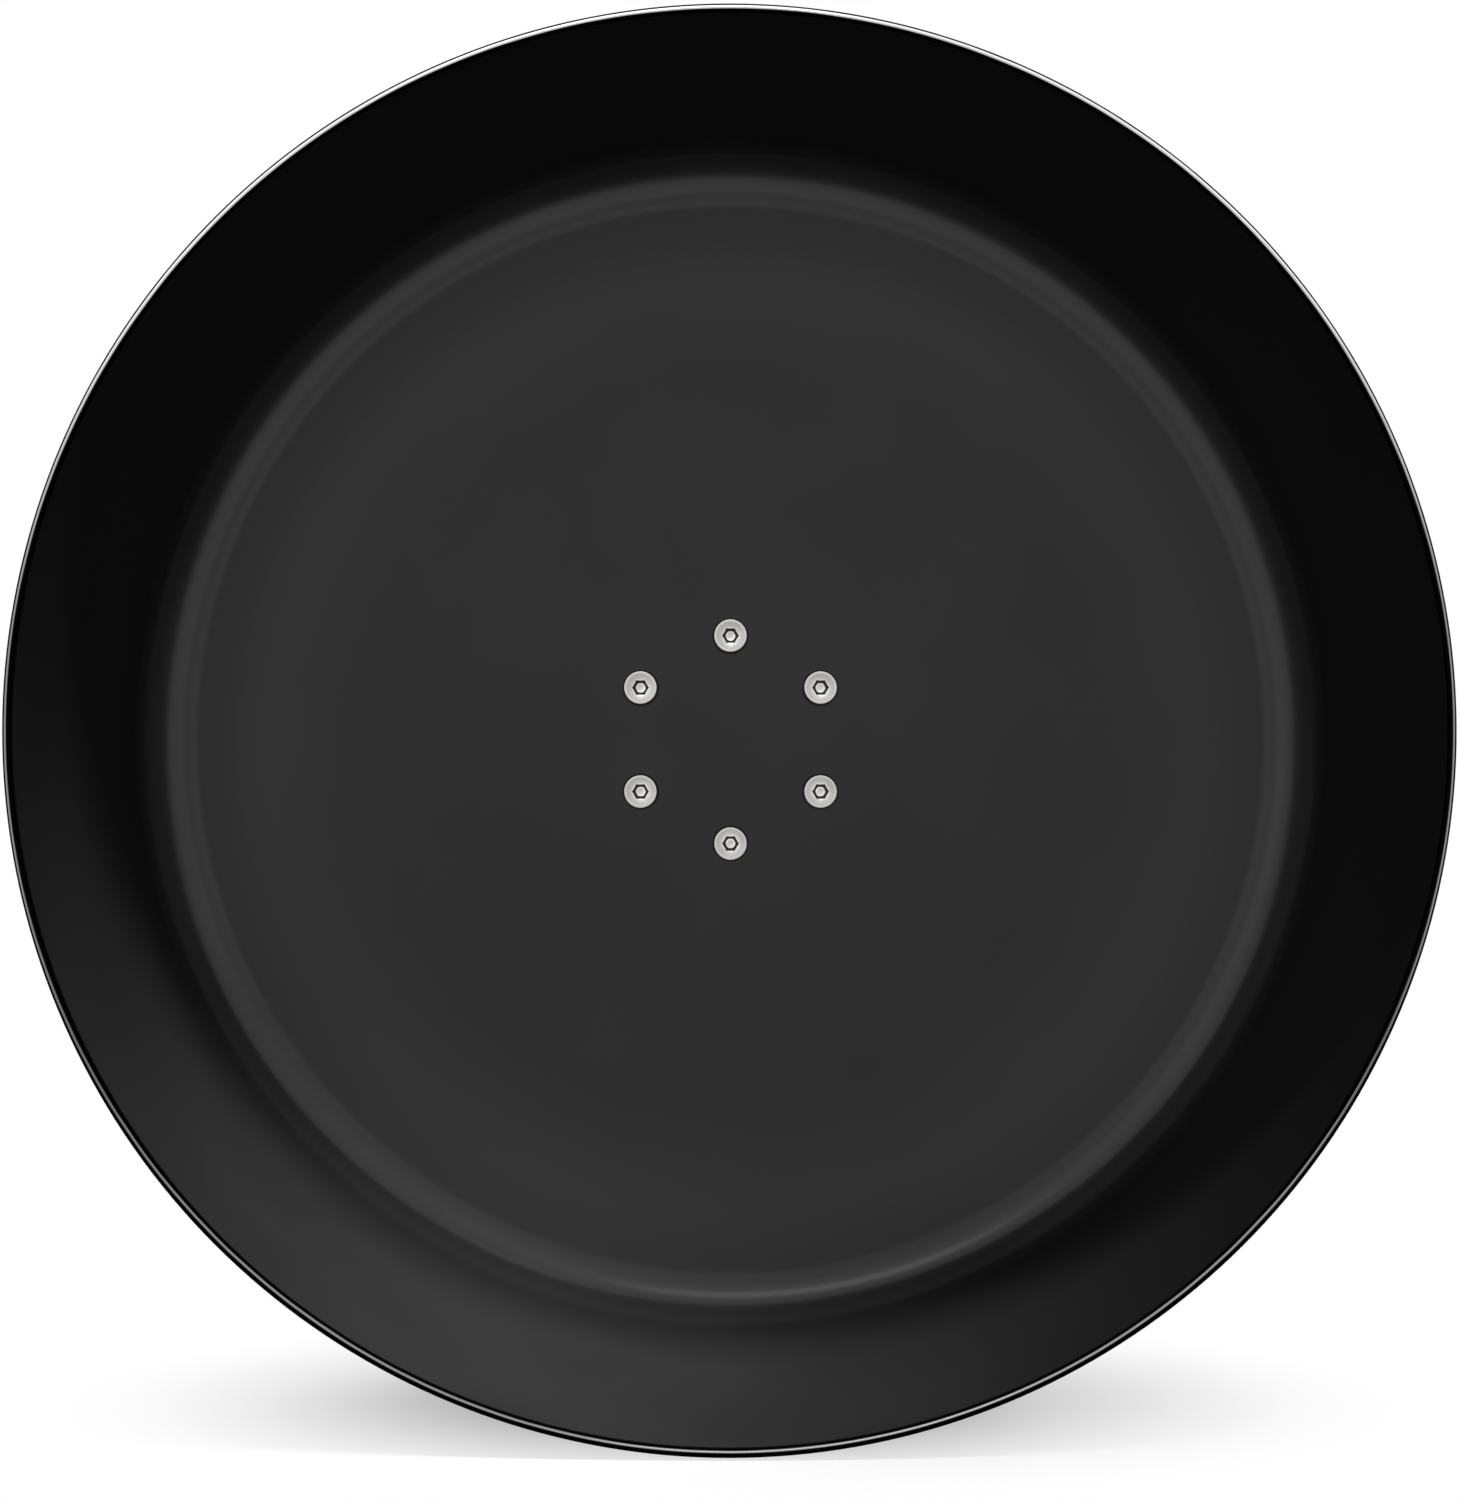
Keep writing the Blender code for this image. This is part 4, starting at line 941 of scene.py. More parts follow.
class WHEEL_OT_add_pan(bpy.types.Operator):
    """Spin the running pan with its curled rim"""

    bl_idname = "wheel.add_pan"
    bl_label = "Add Pan"
    bl_options = {"REGISTER", "UNDO"}

    def execute(self, context):
        self.build(context.scene.exercise_wheel)
        return {"FINISHED"}

    def build(self, wheel):
        pan, screws = wheel.pan, wheel.fasteners
        rear = along("running_pan")[1]
        front, rim = rear - pan.wall, rear - pan.depth
        bead = pan.wall
        bead_centre = (pan.radius - bead, rim + bead)
        lean = math.tan(pan.draft)
        corner_y = front - pan.bend
        # the wall leans out from the bend's end to the bead
        end = (math.cos(pan.draft) * pan.bend, math.sin(pan.draft) * pan.bend)
        bend_r = bead_centre[0] - bead - (corner_y + end[1] - bead_centre[1]) * lean - end[0]
        back = [0.0] + [screws.circle * share for share in (0.35, 0.6, 0.84, 1.16, 1.3)]
        back += [bend_r * share for share in (0.4, 0.6, 0.8, 0.93, 0.98, 0.995)]
        outer_bend, inner_bend = [], []
        for i in range(25):
            t = (math.pi / 2 - pan.draft) * i / 24
            out, up = math.sin(t), math.cos(t)
            outer_bend.append((bend_r + (pan.bend + pan.wall) * out, corner_y + (pan.bend + pan.wall) * up))
            inner_bend.append((bend_r + pan.bend * out, corner_y + pan.bend * up))
        curl = arc(bead_centre, bead, 90, -180, 26)
        outline = [(radius, rear) for radius in back] + outer_bend
        outline += self.wall(outer_bend[-1], curl[0]) + curl + self.wall(curl[-1], inner_bend[-1])
        outline += inner_bend[::-1] + [(radius, front) for radius in reversed(back)]
        points = [(radius - pan.radius, -place) for radius, place in clockwise(outline)]
        given = {
            "Facets": 288, "Turning Radius": pan.radius, "Holes": screws.count, "Hole Circle": screws.circle,
            "Hole Radius": screws.shank + FIT, "First Angle": TOP, "Back": (front + rear) / 2,
        }
        piece = shaped(outline_curve("pan", points, False), "Spun pan", given, "satin_black_coat")
        hand_over(piece, "wheel", "black_coat", "running_pan")

    def wall(self, start, end):
        """Edge rings up the straight wall, closer together at its ends."""
        shares = (0.02, 0.1, 0.3, 0.5, 0.7, 0.9, 0.98)
        return [tuple(a + (b - a) * share for a, b in zip(start, end)) for share in shares]


class WHEEL_OT_add_fasteners(bpy.types.Operator):
    """Set the screws, washers and lock nuts round the housing"""

    bl_idname = "wheel.add_fasteners"
    bl_label = "Add Fasteners"
    bl_options = {"REGISTER", "UNDO"}

    def execute(self, context):
        self.build(context.scene.exercise_wheel)
        return {"FINISHED"}

    def build(self, wheel):
        given = wheel.fasteners
        self.count, self.circle = given.count, given.circle
        self.screws(given)
        self.washers(given)
        self.lock_nuts(given)

    def ring(self, name, piece, finish_name, place, slot, *nodes):
        piece = ring_of(name, piece, finish_name, self.count, self.circle, TOP, place)
        hand_over(piece, "wheel", slot, *nodes)

    def screws(self, given):
        """Low heads with a rounded edge, and a hexagon socket at the bottom of a shallow funnel."""
        front, rear = along("pan_screw_1")
        tall, deep = 3.3 * MM, 2.0 * MM
        seat = front + tall
        tip = rear - seat
        head, shank = given.head, given.shank
        outline = [(0.0, -tall + 0.45 * MM), (2.3 * MM, -tall + 0.4 * MM, 0.1 * MM)]
        outline += [(3.1 * MM, -tall + 0.16 * MM, 0.4 * MM), (4.2 * MM, -tall + 0.08 * MM, 0.2 * MM)]
        outline += [(4.7 * MM, -tall, 0.2 * MM), (head, -tall, 0.45 * MM)]
        outline += [(head, 0.0, 0.15 * MM), (shank, 0.0, 0.05 * MM)]
        core = shank * 0.83
        outline += [(shank, 5.5 * MM, 0.1 * MM), (core, 6.1 * MM), (core, tip - 0.5 * MM), (core * 0.8, tip)]
        outline += [(0.0, tip)]
        body = turned("screw", eased(outline, 0.1 * MM), 56, "turned_stainless")
        floor, across = -tall + deep, given.socket / 2 / math.cos(math.radians(30))
        socket = coated(slab("socket", [hexagon(given.socket)], -tall - MM, floor), "turned_stainless")
        combine(body, socket)
        edge = [(0.0, -tall - MM), (across + 1.4 * MM, -tall - MM)]
        edge += [(across, -tall + 0.85 * MM), (0.0, -tall + 0.85 * MM)]
        combine(body, turned("socket_edge", edge, 6, "turned_stainless"))
        point = [(0.0, floor - 0.1 * MM), (given.socket * 0.39, floor - 0.1 * MM), (0.0, floor + 0.6 * MM)]
        combine(body, turned("socket_point", point, 40, "turned_stainless"))
        ridge = thread("screw_thread", core, shank * 0.99, 1.0 * MM, 5.9 * MM, tip - 0.1 * MM, "turned_stainless", 28)
        screw = smooth(coated(join("screw", body, ridge), "turned_stainless"))
        self.mark_radius(screw)
        self.ring("screws", screw, "turned_stainless", seat, "stainless", *numbered("pan_screw", self.count))

    def mark_radius(self, screw):
        """Each screw's turning marks, and its painted highlights and painted shade, run round its own axis, so its
        points keep their distance from it.
        """
        kept = screw.data.attributes.new("own_radius", "FLOAT", "POINT")
        kept.data.foreach_set("value", [math.hypot(v.co.x, v.co.z) for v in screw.data.vertices])

    def washers(self, given):
        front, rear = along("flange_washer_1")
        outline = tube(6 * MM, given.shank + FIT, 0.0, rear - front)
        washer = turned("washer", eased(outline, 0.22 * MM), 56, "tumbled_zinc")
        self.ring("washers", washer, "tumbled_zinc", front, "zinc_steel", *numbered("flange_washer", self.count))

    def lock_nuts(self, given):
        """Hexagon nuts with a rolled collar that grips a nylon insert."""
        front, rear = along("lock_nut_1")
        tall, hexagon_top, bore = rear - front, 4.4 * MM, given.shank + FIT
        nut = nut_blank("lock_nut", given.nut_width, 0.0, hexagon_top, "tumbled_zinc")
        skirt = [(0.0, hexagon_top - MM), (4.5 * MM, hexagon_top - MM), (4.3 * MM, hexagon_top + 0.1 * MM, 0.2 * MM)]
        skirt += [(4.3 * MM, tall - 0.5 * MM, 0.5 * MM), (3.9 * MM, tall, 0.2 * MM), (0.0, tall)]
        collar = turned("collar", eased(skirt, 0.1 * MM), 56, "tumbled_zinc")
        combine(nut, collar, "UNION")
        drill = [(0.0, -MM), (bore + 0.5 * MM + MM, -MM), (bore, 0.5 * MM), (bore, tall - 1.5 * MM)]
        drill += [(3.75 * MM, tall - 1.5 * MM), (3.75 * MM, tall + MM), (0.0, tall + MM)]
        combine(nut, turned("nut_drill", drill, 56, "tumbled_zinc"))
        smooth(nut)
        self.ring("lock_nuts", nut, "tumbled_zinc", front, "zinc_steel", *numbered("lock_nut", self.count))
        insert = eased(tube(3.72 * MM, bore - 0.2 * MM, tall - 1.45 * MM, tall - 0.3 * MM), 0.2 * MM)
        insert = turned("insert", insert, 48, "moulded_nylon")
        self.ring("lock_nut_inserts", insert, "moulded_nylon", front, "nylon")


class WHEEL_OT_add_housing(bpy.types.Operator):
    """Cast the ribbed housing, then machine its faces, bores and seats"""

    bl_idname = "wheel.add_housing"
    bl_label = "Add Housing"
    bl_options = {"REGISTER", "UNDO"}

    def execute(self, context):
        self.build(context.scene.exercise_wheel)
        return {"FINISHED"}

    def build(self, wheel):
        given, screws = wheel.housing, wheel.fasteners
        front, rear = along("bearing_housing")
        deck = front + given.flange
        foot = given.boss + (rear - deck) * math.tan(math.radians(1.5))
        edge = screws.circle + 8.8 * MM
        stock = 0.8 * MM
        outside = [(0.0, rear + stock), (given.boss, rear + stock), (given.boss, rear - 0.5 * MM)]
        outside += arc((foot + given.fillet, deck + given.fillet), given.fillet, 180, 270, 8)
        outside += [(edge, deck, 1.2 * MM), (edge, front - stock), (0.0, front - stock)]
        casting = turned("housing", eased(outside, 0.0), 144, "cast_aluminium_skin")
        ribs = self.ribs(given, screws, deck, foot)
        casting = melted(join("housing", casting, ribs), given.grain, 7, "cast_aluminium_skin")
        self.machine(casting, given, screws, front, rear, deck, edge)
        smooth(casting, math.radians(38))
        hand_over(casting, "wheel", "cast_aluminium", "bearing_housing")

    def ribs(self, given, screws, deck, foot):
        """Hollow-backed ribs that stand midway between the screws."""
        top, sink = deck + given.rib_height, 1.5 * MM
        hollow = [(screws.circle + (x - 1) * (screws.circle - foot), top + y * (given.rib_height - 2 * MM))
                  for x, y in arc((1.0, 0.0), 1.0, 180, 270, 16)]
        loop = [(foot - 3 * MM, deck - sink), (foot - 3 * MM, top)] + hollow + [(screws.circle, deck - sink)]
        rib = slab("rib", [loop], -given.rib / 2, given.rib / 2, axis="Z")
        first = math.radians(90 + 180 / screws.count)
        return ring_of("ribs", rib, "cast_aluminium_skin", screws.count, 0.0, first, 0.0, 1.0)

    def machine(self, casting, given, screws, front, rear, deck, edge):
        """Faces both ends, bores the seats, cuts the ring groove and spot-faces the screw seats."""
        bright = "machined_aluminium"
        groove = along("retaining_ring")
        seat = along("front_outer_race")[0] - FIT
        play = 0.25 * MM
        bore = given.bore
        cut = [(0.0, front - 4 * MM), (edge + 4 * MM, front - 4 * MM), (edge + 4 * MM, front)]
        cut += [(given.pocket + 0.6 * MM, front), (given.pocket, front + 0.6 * MM), (given.pocket, seat)]
        cut += [(bore, seat), (bore, groove[0] - play), (bore + 1.2 * MM, groove[0] - play)]
        cut += [(bore + 1.2 * MM, groove[1] + play), (bore, groove[1] + play), (bore, rear - 0.7 * MM)]
        cut += [(bore + 0.7 * MM, rear), (given.boss - 1.0 * MM, rear), (given.boss + 0.6 * MM, rear - 1.4 * MM)]
        cut += [(edge + 6 * MM, rear - 1.4 * MM), (edge + 6 * MM, rear + 6 * MM), (0.0, rear + 6 * MM)]
        combine(casting, turned("boring_cut", cut, 128, bright))
        spot = turned("spot_cut", rod(6.7 * MM, -0.15 * MM, 1.3 * MM), 48, bright)
        combine(casting, ring_of("spot_cuts", spot, bright, screws.count, screws.circle, TOP, deck))
        drill = turned("drill", rod(screws.shank + FIT, front - MM, deck + MM), 40, bright)
        combine(casting, ring_of("drill_cuts", drill, bright, screws.count, screws.circle, TOP))


class WHEEL_OT_add_bearings(bpy.types.Operator):
    """Fit both sealed ball bearings and the retaining ring"""

    bl_idname = "wheel.add_bearings"
    bl_label = "Add Bearings"
    bl_options = {"REGISTER", "UNDO"}

    def execute(self, context):
        self.build(context.scene.exercise_wheel)
        return {"FINISHED"}

    def build(self, wheel):
        for side in ("front", "rear"):
            self.bearing(side, wheel.bearings, wheel.axle.radius)
        self.retaining_ring(wheel)

    def bearing(self, side, given, axle):
        """Two races with ground tracks, their seals, and what rolls between them."""
        front, rear = along(f"{side}_outer_race")
        middle, half = (front + rear) / 2, (rear - front) / 2
        track = given.ball + 0.2 * MM
        bore = axle + FIT
        groove = 0.6 * MM
        lip, land = given.pitch - track + groove, given.pitch + track - groove
        seat = land + 0.7 * MM
        reach = math.degrees(math.acos((track - groove) / track))

        outer = [(seat, half), (given.radius - 0.5 * MM, half), (given.radius, half - 0.5 * MM)]
        step = half - SEAL_SEAT
        shoulder = [(land, -step), (seat, -step), (seat, -half)]
        outline = outer + [(radius, -place) for radius, place in reversed(outer[1:])] + shoulder[::-1]
        outline += arc((given.pitch, 0.0), track, -reach, reach, 12) + [(land, step), (seat, step)]
        outline = eased(moved_along(outline, middle), 0.12 * MM)
        piece = turned(f"{side}_outer_ring", outline, 96, "ground_bearing_steel")
        hand_over(piece, "wheel", "bearing_steel", f"{side}_outer_race")

        outline = [(bore, half, 0.3 * MM), (lip, half, 0.15 * MM)]
        outline += arc((given.pitch, 0.0), track, 180 - reach, 180 + reach, 12)
        outline += [(lip, -half, 0.15 * MM), (bore, -half, 0.3 * MM)]
        outline = eased(moved_along(outline, middle), 0.0)
        piece = turned(f"{side}_inner_ring", outline, 72, "ground_bearing_steel")
        hand_over(piece, "axle", "bearing_steel", f"{side}_inner_race")

        for letter, sign in (("a", -1), ("b", 1)):
            self.seal(side, letter, sign, lip + 0.2 * MM, seat - 0.2 * MM)
        self.rolling(side, given, middle, half)

    def seal(self, side, letter, sign, inner, outer):
        """A rubber seal with a dished face, a rib and a thin lip on the inner race."""
        node = f"{side}_seal_{letter}"
        low, high = along(node)
        face, back = (high, low) if sign > 0 else (low, high)

        def depth(share):
            return face + (back - face) * share

        width = outer - inner
        outline = [(inner, depth(0.15)), (inner + width * 0.12, depth(0.0)), (inner + width * 0.22, depth(0.35))]
        outline += [(inner + width * 0.62, depth(0.35)), (inner + width * 0.72, depth(0.02)), (outer, depth(0.05))]
        outline += [(outer, depth(0.9)), (inner + width * 0.5, depth(1.0)), (inner, depth(0.7))]
        piece = turned(f"{side}_seal_face_{letter}", eased(outline, 0.08 * MM), 96, "moulded_rubber")
        hand_over(piece, "wheel", "rubber", node)

    def rolling(self, side, given, middle, half):
        """A crown retainer and its balls, which go round together."""
        count, pitch, ball = given.balls, given.pitch, given.ball
        base = half - SEAL_SEAT
        outline = tube(pitch + 0.8 * MM, pitch - 0.8 * MM, middle - base, middle + 1.1 * MM)
        crown = turned(f"{side}_crown", eased(outline, 0.15 * MM), 140, "moulded_nylon")
        hollow = self.sphere("pocket", ball + FIT, 20, "moulded_nylon")
        pockets = ring_of("pockets", hollow, "moulded_nylon", count, pitch, 0.0, middle)
        combine(crown, pockets)
        coated(smooth(crown), "moulded_nylon")
        hand_over(crown, f"{side}_balls", "nylon", f"{side}_retainer")

        sphere = self.sphere("ball", ball, 24, "ground_bearing_steel")
        balls = ring_of(f"{side}_ball_set", sphere, "ground_bearing_steel", count, pitch, 0.0, middle)
        hand_over(balls, f"{side}_balls", "bearing_steel", *numbered(f"{side}_ball", count))

    def sphere(self, name, radius, steps, finish_name):
        edge = [(max(out, 0.0), place) for out, place in arc((0.0, 0.0), radius, -90, 90, steps)]
        return turned(name, edge, 40, finish_name)

    def retaining_ring(self, wheel):
        """A stamped ring, open at the top, with a drilled lug at each end."""
        bore = wheel.housing.bore
        outer = bore + 0.9 * MM
        inner, tip = outer - 2.2 * MM, bore - 2.6 * MM
        start, end, lug = 90 + 13, 450 - 13, 15
        loop = arc((0, 0), outer, start, end, 110) + arc((0, 0), tip, end, end - lug, 8)
        loop += arc((0, 0), inner, end - lug - 2, start + lug + 2, 100) + arc((0, 0), tip, start + lug, start, 8)
        holes = [arc(centre, 0.65 * MM, 0, 345, 23)
                 for centre in arc((0, 0), bore - 1.3 * MM, 90 - 20.5, 90 + 20.5, 1)]
        low, high = along("retaining_ring")
        ring = coated(slab("snap_ring", [loop] + holes, low, high, edge=0.08 * MM, steps=1), "blackened_spring_steel")
        hand_over(flatten_faces(ring), "wheel", "spring_steel", "retaining_ring")


class WHEEL_OT_add_axle(bpy.types.Operator):
    """Turn the threaded axle and stack its sleeves and jam nut"""

    bl_idname = "wheel.add_axle"
    bl_label = "Add Axle"
    bl_options = {"REGISTER", "UNDO"}

    def execute(self, context):
        self.build(context.scene.exercise_wheel)
        return {"FINISHED"}

    def build(self, wheel):
        self.bolt(wheel.axle)
        for name, node in (("shim", "front_shim"), ("middle_sleeve", "centre_spacer"), ("end_sleeve", "rear_spacer")):
            front, rear = along(node)
            outline = eased(tube(wheel.axle.sleeve, wheel.axle.radius + FIT, front, rear), 0.2 * MM)
            piece = turned(name, outline, 64, "bright_zinc")
            hand_over(piece, "axle", "zinc_steel", node)
        self.jam_nut(wheel.axle)

    def bolt(self, given):
        front, end = along("axle_bolt")
        seat = front + 4 * MM
        shank, head = given.radius, given.head
        core = shank - given.pitch * 0.6134
        start = along("jam_nut")[0] - 2 * MM
        outline = [(0.0, front + 0.15 * MM), (2.2 * MM, front + 0.15 * MM), (2.6 * MM, front)]
        outline += [(head - 1.2 * MM, front, 0.6 * MM), (head, front + 1.4 * MM, 0.8 * MM), (head, seat, 0.15 * MM)]
        outline += [(shank, seat, 0.2 * MM), (shank, start - 0.9 * MM, 0.2 * MM), (core, start, 0.1 * MM)]
        outline += [(core, end - 0.35 * MM, 0.3 * MM), (core - 0.5 * MM, end, 0.1 * MM), (0.0, end)]
        core_piece = turned("axle_core", eased(outline, 0.05 * MM), 72, "bright_zinc")
        crest, first, last = shank - 0.02 * MM, start - 0.6 * MM, end - 0.4 * MM
        ridge = thread("axle_thread", core, crest, given.pitch, first, last, "bright_zinc")
        bolt = smooth(coated(join("axle", core_piece, ridge), "bright_zinc"))
        hand_over(bolt, "axle", "zinc_steel", "axle_bolt")

    def jam_nut(self, given):
        front, rear = along("jam_nut")
        bore = given.radius + FIT
        nut = nut_blank("thin_nut", given.nut_width, front, rear, "tumbled_zinc")
        drill = [(0.0, front - MM), (bore + 1.4 * MM, front - MM), (bore, front + 0.4 * MM), (bore, rear - 0.4 * MM)]
        drill += [(bore + 1.4 * MM, rear + MM), (0.0, rear + MM)]
        combine(nut, turned("thin_nut_drill", drill, 64, "tumbled_zinc"))
        hand_over(smooth(nut), "axle", "zinc_steel", "jam_nut")


class WHEEL_OT_add_clamp(bpy.types.Operator):
    """Fit the plates, pads, washer and wing nut that hold the cage wall"""

    bl_idname = "wheel.add_clamp"
    bl_label = "Add Clamp"
    bl_options = {"REGISTER", "UNDO"}

    def execute(self, context):
        self.build(context.scene.exercise_wheel)
        return {"FINISHED"}

    def build(self, wheel):
        given, bore = wheel.clamp, wheel.axle.radius + FIT
        plate = (given.width, given.corner, 0.5 * MM, "bright_zinc", "zinc_steel")
        pad = (given.width - 2 * given.margin, given.corner - given.margin, 0.35 * MM, "moulded_rubber", "rubber")
        self.sheet("inner_plate", "axle", "inner_clamp_plate", bore, *plate)
        self.sheet("outer_plate", "clamp", "outer_clamp_plate", bore, *plate)
        self.sheet("inner_rubber", "axle", "inner_pad", bore, *pad)
        self.sheet("outer_rubber", "clamp", "outer_pad", bore, *pad)
        front, rear = along("plain_washer")
        washer = turned("nut_washer", eased(tube(given.washer, bore, front, rear), 0.3 * MM), 72, "tumbled_zinc")
        hand_over(washer, "clamp", "zinc_steel", "plain_washer")
        self.wing_nut(given, bore)

    def sheet(self, name, body, node, bore, width, corner, edge, finish_name, slot):
        """A rounded square with the axle's hole, cut from plate or rubber."""
        loops = [rounded_square(width, corner), arc((0, 0), bore, 0, 352.5, 47)]
        sheet = coated(slab(name, loops, *along(node), edge=edge, steps=2), finish_name)
        hand_over(flatten_faces(sheet), body, slot, node)

    def wing_nut(self, given, bore):
        """Hub and wings melted into one forging, then bored."""
        front, end = along("wing_nut")
        tall, top, hub = 11 * MM, 8.2 * MM, given.hub
        outline = [(0.0, front), (hub - 0.8 * MM, front), (hub, front + 0.8 * MM, 0.3 * MM)]
        outline += [(top, front + tall - 0.8 * MM, 0.4 * MM), (top - 0.8 * MM, front + tall), (0.0, front + tall)]
        body = turned("wing_nut_hub", eased(outline, 0.2 * MM), 96, "tumbled_zinc")
        tip = 6.2 * MM
        tip_centre = (given.span / 2 - tip, end - tip)
        low, high = front + 1.5 * MM, front + tall - 1.5 * MM
        right = [(top / 2, low), (hub, low)] + arc(tip_centre, tip, -40, 165, 28) + [(top, high), (top / 2, high)]
        loop = right + [(-x, y) for x, y in reversed(right)]
        wings = slab("wings", [loop], -given.wing / 2, given.wing / 2, axis="Z")
        nut = melted(join("butterfly_nut", body, wings), 0.35 * MM, 8, "tumbled_zinc")
        cut = [(0.0, front - MM), (hub + 4 * MM, front - MM), (hub + 4 * MM, front), (bore + 0.5 * MM, front)]
        cut += [(bore, front + 0.5 * MM), (bore, front + tall - 0.5 * MM), (bore + 1.5 * MM, front + tall + MM)]
        cut += [(0.0, front + tall + MM)]
        combine(nut, turned("nut_bore", cut, 72, "tumbled_zinc"))
        hand_over(smooth(nut, math.radians(40)), "wing_nut", "zinc_steel", "wing_nut")


class WHEEL_OT_add_stage(bpy.types.Operator):
    """Lay the floor and set the lamps and the camera"""

    bl_idname = "wheel.add_stage"
    bl_label = "Add Stage"
    bl_options = {"REGISTER", "UNDO"}

    def execute(self, context):
        self.build(context.scene.exercise_wheel)
        return {"FINISHED"}

    def build(self, wheel):
        given = wheel.stage
        self.floor(given, -wheel.pan.radius - 0.5 * MM)
        self.world()
        hub, foot_of_wall = (0.0, 0.0, 0.0), (-0.065, -0.13, -0.165)
        key = self.lamp("SPOT", "Key", (0.32, -0.42, 0.82), foot_of_wall, given.key)
        key.data.spot_size, key.data.spot_blend, key.data.shadow_soft_size = math.radians(20), 1.0, 0.1
        front = self.lamp("SUN", "Front", (0.0, -2.0, 0.06), hub, given.front)
        front.data.angle = math.radians(6)
        rear = self.lamp("SUN", "Rear", (0.9, 2.0, 0.9), hub, given.front * 0.9)
        rear.data.angle = math.radians(20)
        key.visible_glossy = front.visible_glossy = False
        glint = self.panel_lamp("Glint", (-0.12, -0.95, 0.75), (0.0, -0.06, 0.0), (0.5, 0.3), given.glint)
        glint.visible_diffuse = False
        self.panel_lamp("Front fill", (-0.4, -1.6, 0.5), (0.0, -0.05, 0.0), (1.6, 1.2), given.fill)
        self.panel_lamp("Rear fill", (0.5, 1.5, 0.7), hub, (1.4, 1.2), given.fill)
        self.camera(given)

    def floor(self, given, height):
        """Pale paint that keeps the wheel's soft shadow and turns white for the camera a little way off."""
        floor = show("floor", bpy.data.meshes.new("floor"))
        reach = 4.0
        corners = [(-reach, -reach, height), (reach, -reach, height), (reach, reach, height), (-reach, reach, height)]
        floor.data.from_pydata(corners, [], [(0, 1, 2, 3)])
        paint = Finish("floor_paint")
        grain = paint.noise(60, 3.0)
        tint = tuple(given.floor)
        path = paint.node("ShaderNodeLightPath")
        seen, bounced = paint.value(path, 0), paint.value(path, 2)
        base = paint.mix(bounced * 0.75, paint.mix(grain, shade(tint, 0.985), tint), (0.0, 0.0, 0.0))
        shader = paint.node("ShaderNodeBsdfPrincipled", {"Base Color": base, "Roughness": 0.9})
        glow = paint.node("ShaderNodeEmission", {"Color": (1.0, 1.0, 1.0, 1.0), "Strength": 1.0})
        centring = {"Vector": paint.place, "Location": (0.0, 0.3, 0.0), "Scale": (1.1, 2.4, 1.0)}
        centred = paint.node("ShaderNodeMapping", centring)
        far = paint.span(centred, (1.0, 1.0, 0.0))
        away = (far.between(0.0, 0.22) * 0.8 + 0.2) * seen
        mixed = paint.node("ShaderNodeMixShader", {0: away, 1: shader, 2: glow})
        paint.node("ShaderNodeOutputMaterial", {"Surface": mixed})
        floor.data.materials.append(paint.material)
        floor.visible_glossy = False

    def world(self):
        """A white backdrop for the camera, a low even light, and for gloss a white room with a dim front and a
        dark belt behind the camera.
        """
        world = bpy.data.worlds.new("studio")
        world.use_nodes = True
        world.node_tree.nodes.clear()
        nodes = Nodes(world.node_tree)
        place = nodes.node("ShaderNodeTexCoord").outputs["Generated"]
        way = nodes.node("ShaderNodeSeparateXYZ", {0: place})
        ahead, up = nodes.value(way, 1), nodes.value(way, 2)
        path = nodes.node("ShaderNodeLightPath").outputs
        camera = Value(nodes, path["Is Camera Ray"])
        gloss = Value(nodes, path["Is Glossy Ray"]).most(Value(nodes, path["Is Transmission Ray"]))
        front = 1 - ahead.between(-0.97, -0.86)
        belt = ahead.between(-0.6, -0.35) * (1 - ahead.between(0.5, 0.8)) * (1 - up.between(0.05, 0.5))
        strength = camera.most(gloss * (1 - front * 0.55) * (1 - belt * 0.85)).most((1 - gloss) * 0.05)
        light = nodes.node("ShaderNodeBackground", {"Color": (1.0, 1.0, 1.0, 1.0), "Strength": strength})
        nodes.node("ShaderNodeOutputWorld", {"Surface": light})
        bpy.context.scene.world = world

    def panel_lamp(self, name, place, target, size, power):
        lamp = self.lamp("AREA", name, place, target, power)
        lamp.data.shape = "RECTANGLE"
        lamp.data.size, lamp.data.size_y = size
        return lamp

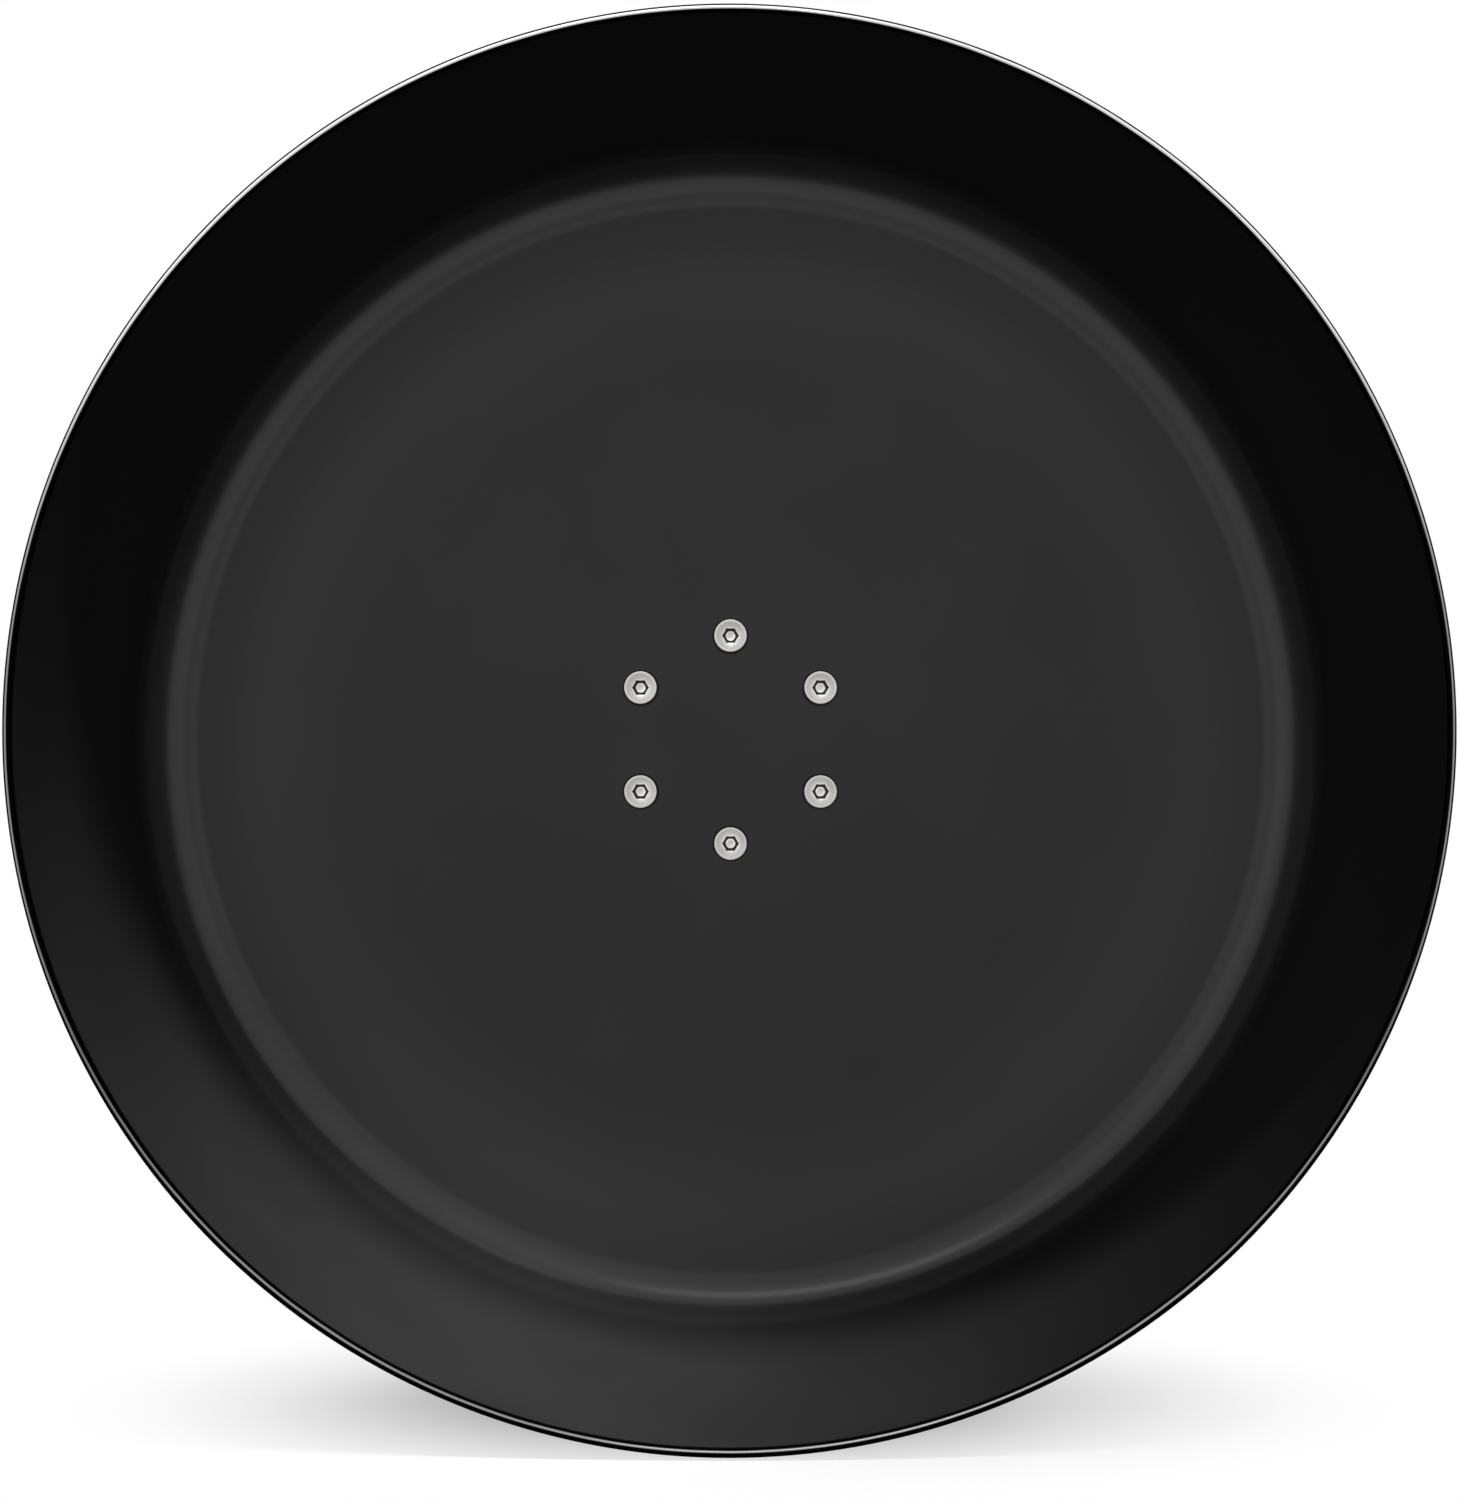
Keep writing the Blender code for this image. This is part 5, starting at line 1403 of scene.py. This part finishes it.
    def lamp(self, kind, name, place, target, power):
        light = bpy.data.lights.new(name, kind)
        light.energy = power
        lamp = show(name, light)
        lamp.location = place
        lamp.rotation_euler = (Vector(target) - Vector(place)).to_track_quat("-Z", "Y").to_euler()
        return lamp

    def camera(self, given):
        data = bpy.data.cameras.new("camera")
        data.lens = given.lens
        data.sensor_width = 36.0
        data.shift_x, data.shift_y = -0.004, 0.019
        data.clip_start, data.clip_end = 0.01, 20.0
        camera = show("camera", data)
        camera.location = (0.0016, -given.distance, -0.0125)
        camera.rotation_euler = (math.radians(90), 0.0, 0.0)
        bpy.context.scene.camera = camera
        bpy.context.scene.view_settings.view_transform = "Standard"


class WHEEL_PT_panel(bpy.types.Panel):
    """Lists the wheel's operators and sizes"""

    bl_idname = "WHEEL_PT_panel"
    bl_label = "Exercise Wheel"
    bl_space_type = "VIEW_3D"
    bl_region_type = "UI"
    bl_category = "Wheel"

    def draw(self, context):
        for operator, group in STEPS:
            box = self.layout.box()
            box.operator(operator.bl_idname)
            for label in group.__annotations__:
                box.prop(getattr(context.scene.exercise_wheel, SECTIONS[group]), label)


GROUPS = (
    PanSettings, FastenerSettings, HousingSettings, BearingSettings, AxleSettings, ClampSettings, StageSettings,
)
SECTIONS = dict(zip(GROUPS, WheelSettings.__annotations__))
STEPS = (
    (WHEEL_OT_add_pan, PanSettings),
    (WHEEL_OT_add_fasteners, FastenerSettings),
    (WHEEL_OT_add_housing, HousingSettings),
    (WHEEL_OT_add_bearings, BearingSettings),
    (WHEEL_OT_add_axle, AxleSettings),
    (WHEEL_OT_add_clamp, ClampSettings),
    (WHEEL_OT_add_stage, StageSettings),
)
CLASSES = GROUPS + (WheelSettings,) + tuple(operator for operator, group in STEPS) + (WHEEL_PT_panel,)


def register():
    for cls in CLASSES:
        bpy.utils.register_class(cls)
    bpy.types.Scene.exercise_wheel = PointerProperty(type=WheelSettings)


def unregister():
    del bpy.types.Scene.exercise_wheel
    for cls in reversed(CLASSES):
        bpy.utils.unregister_class(cls)


def main():
    register()
    for operator, group in STEPS:
        name = operator.bl_idname.split(".")[1]
        getattr(bpy.ops.wheel, name)()


if __name__ == "__main__":
    main()
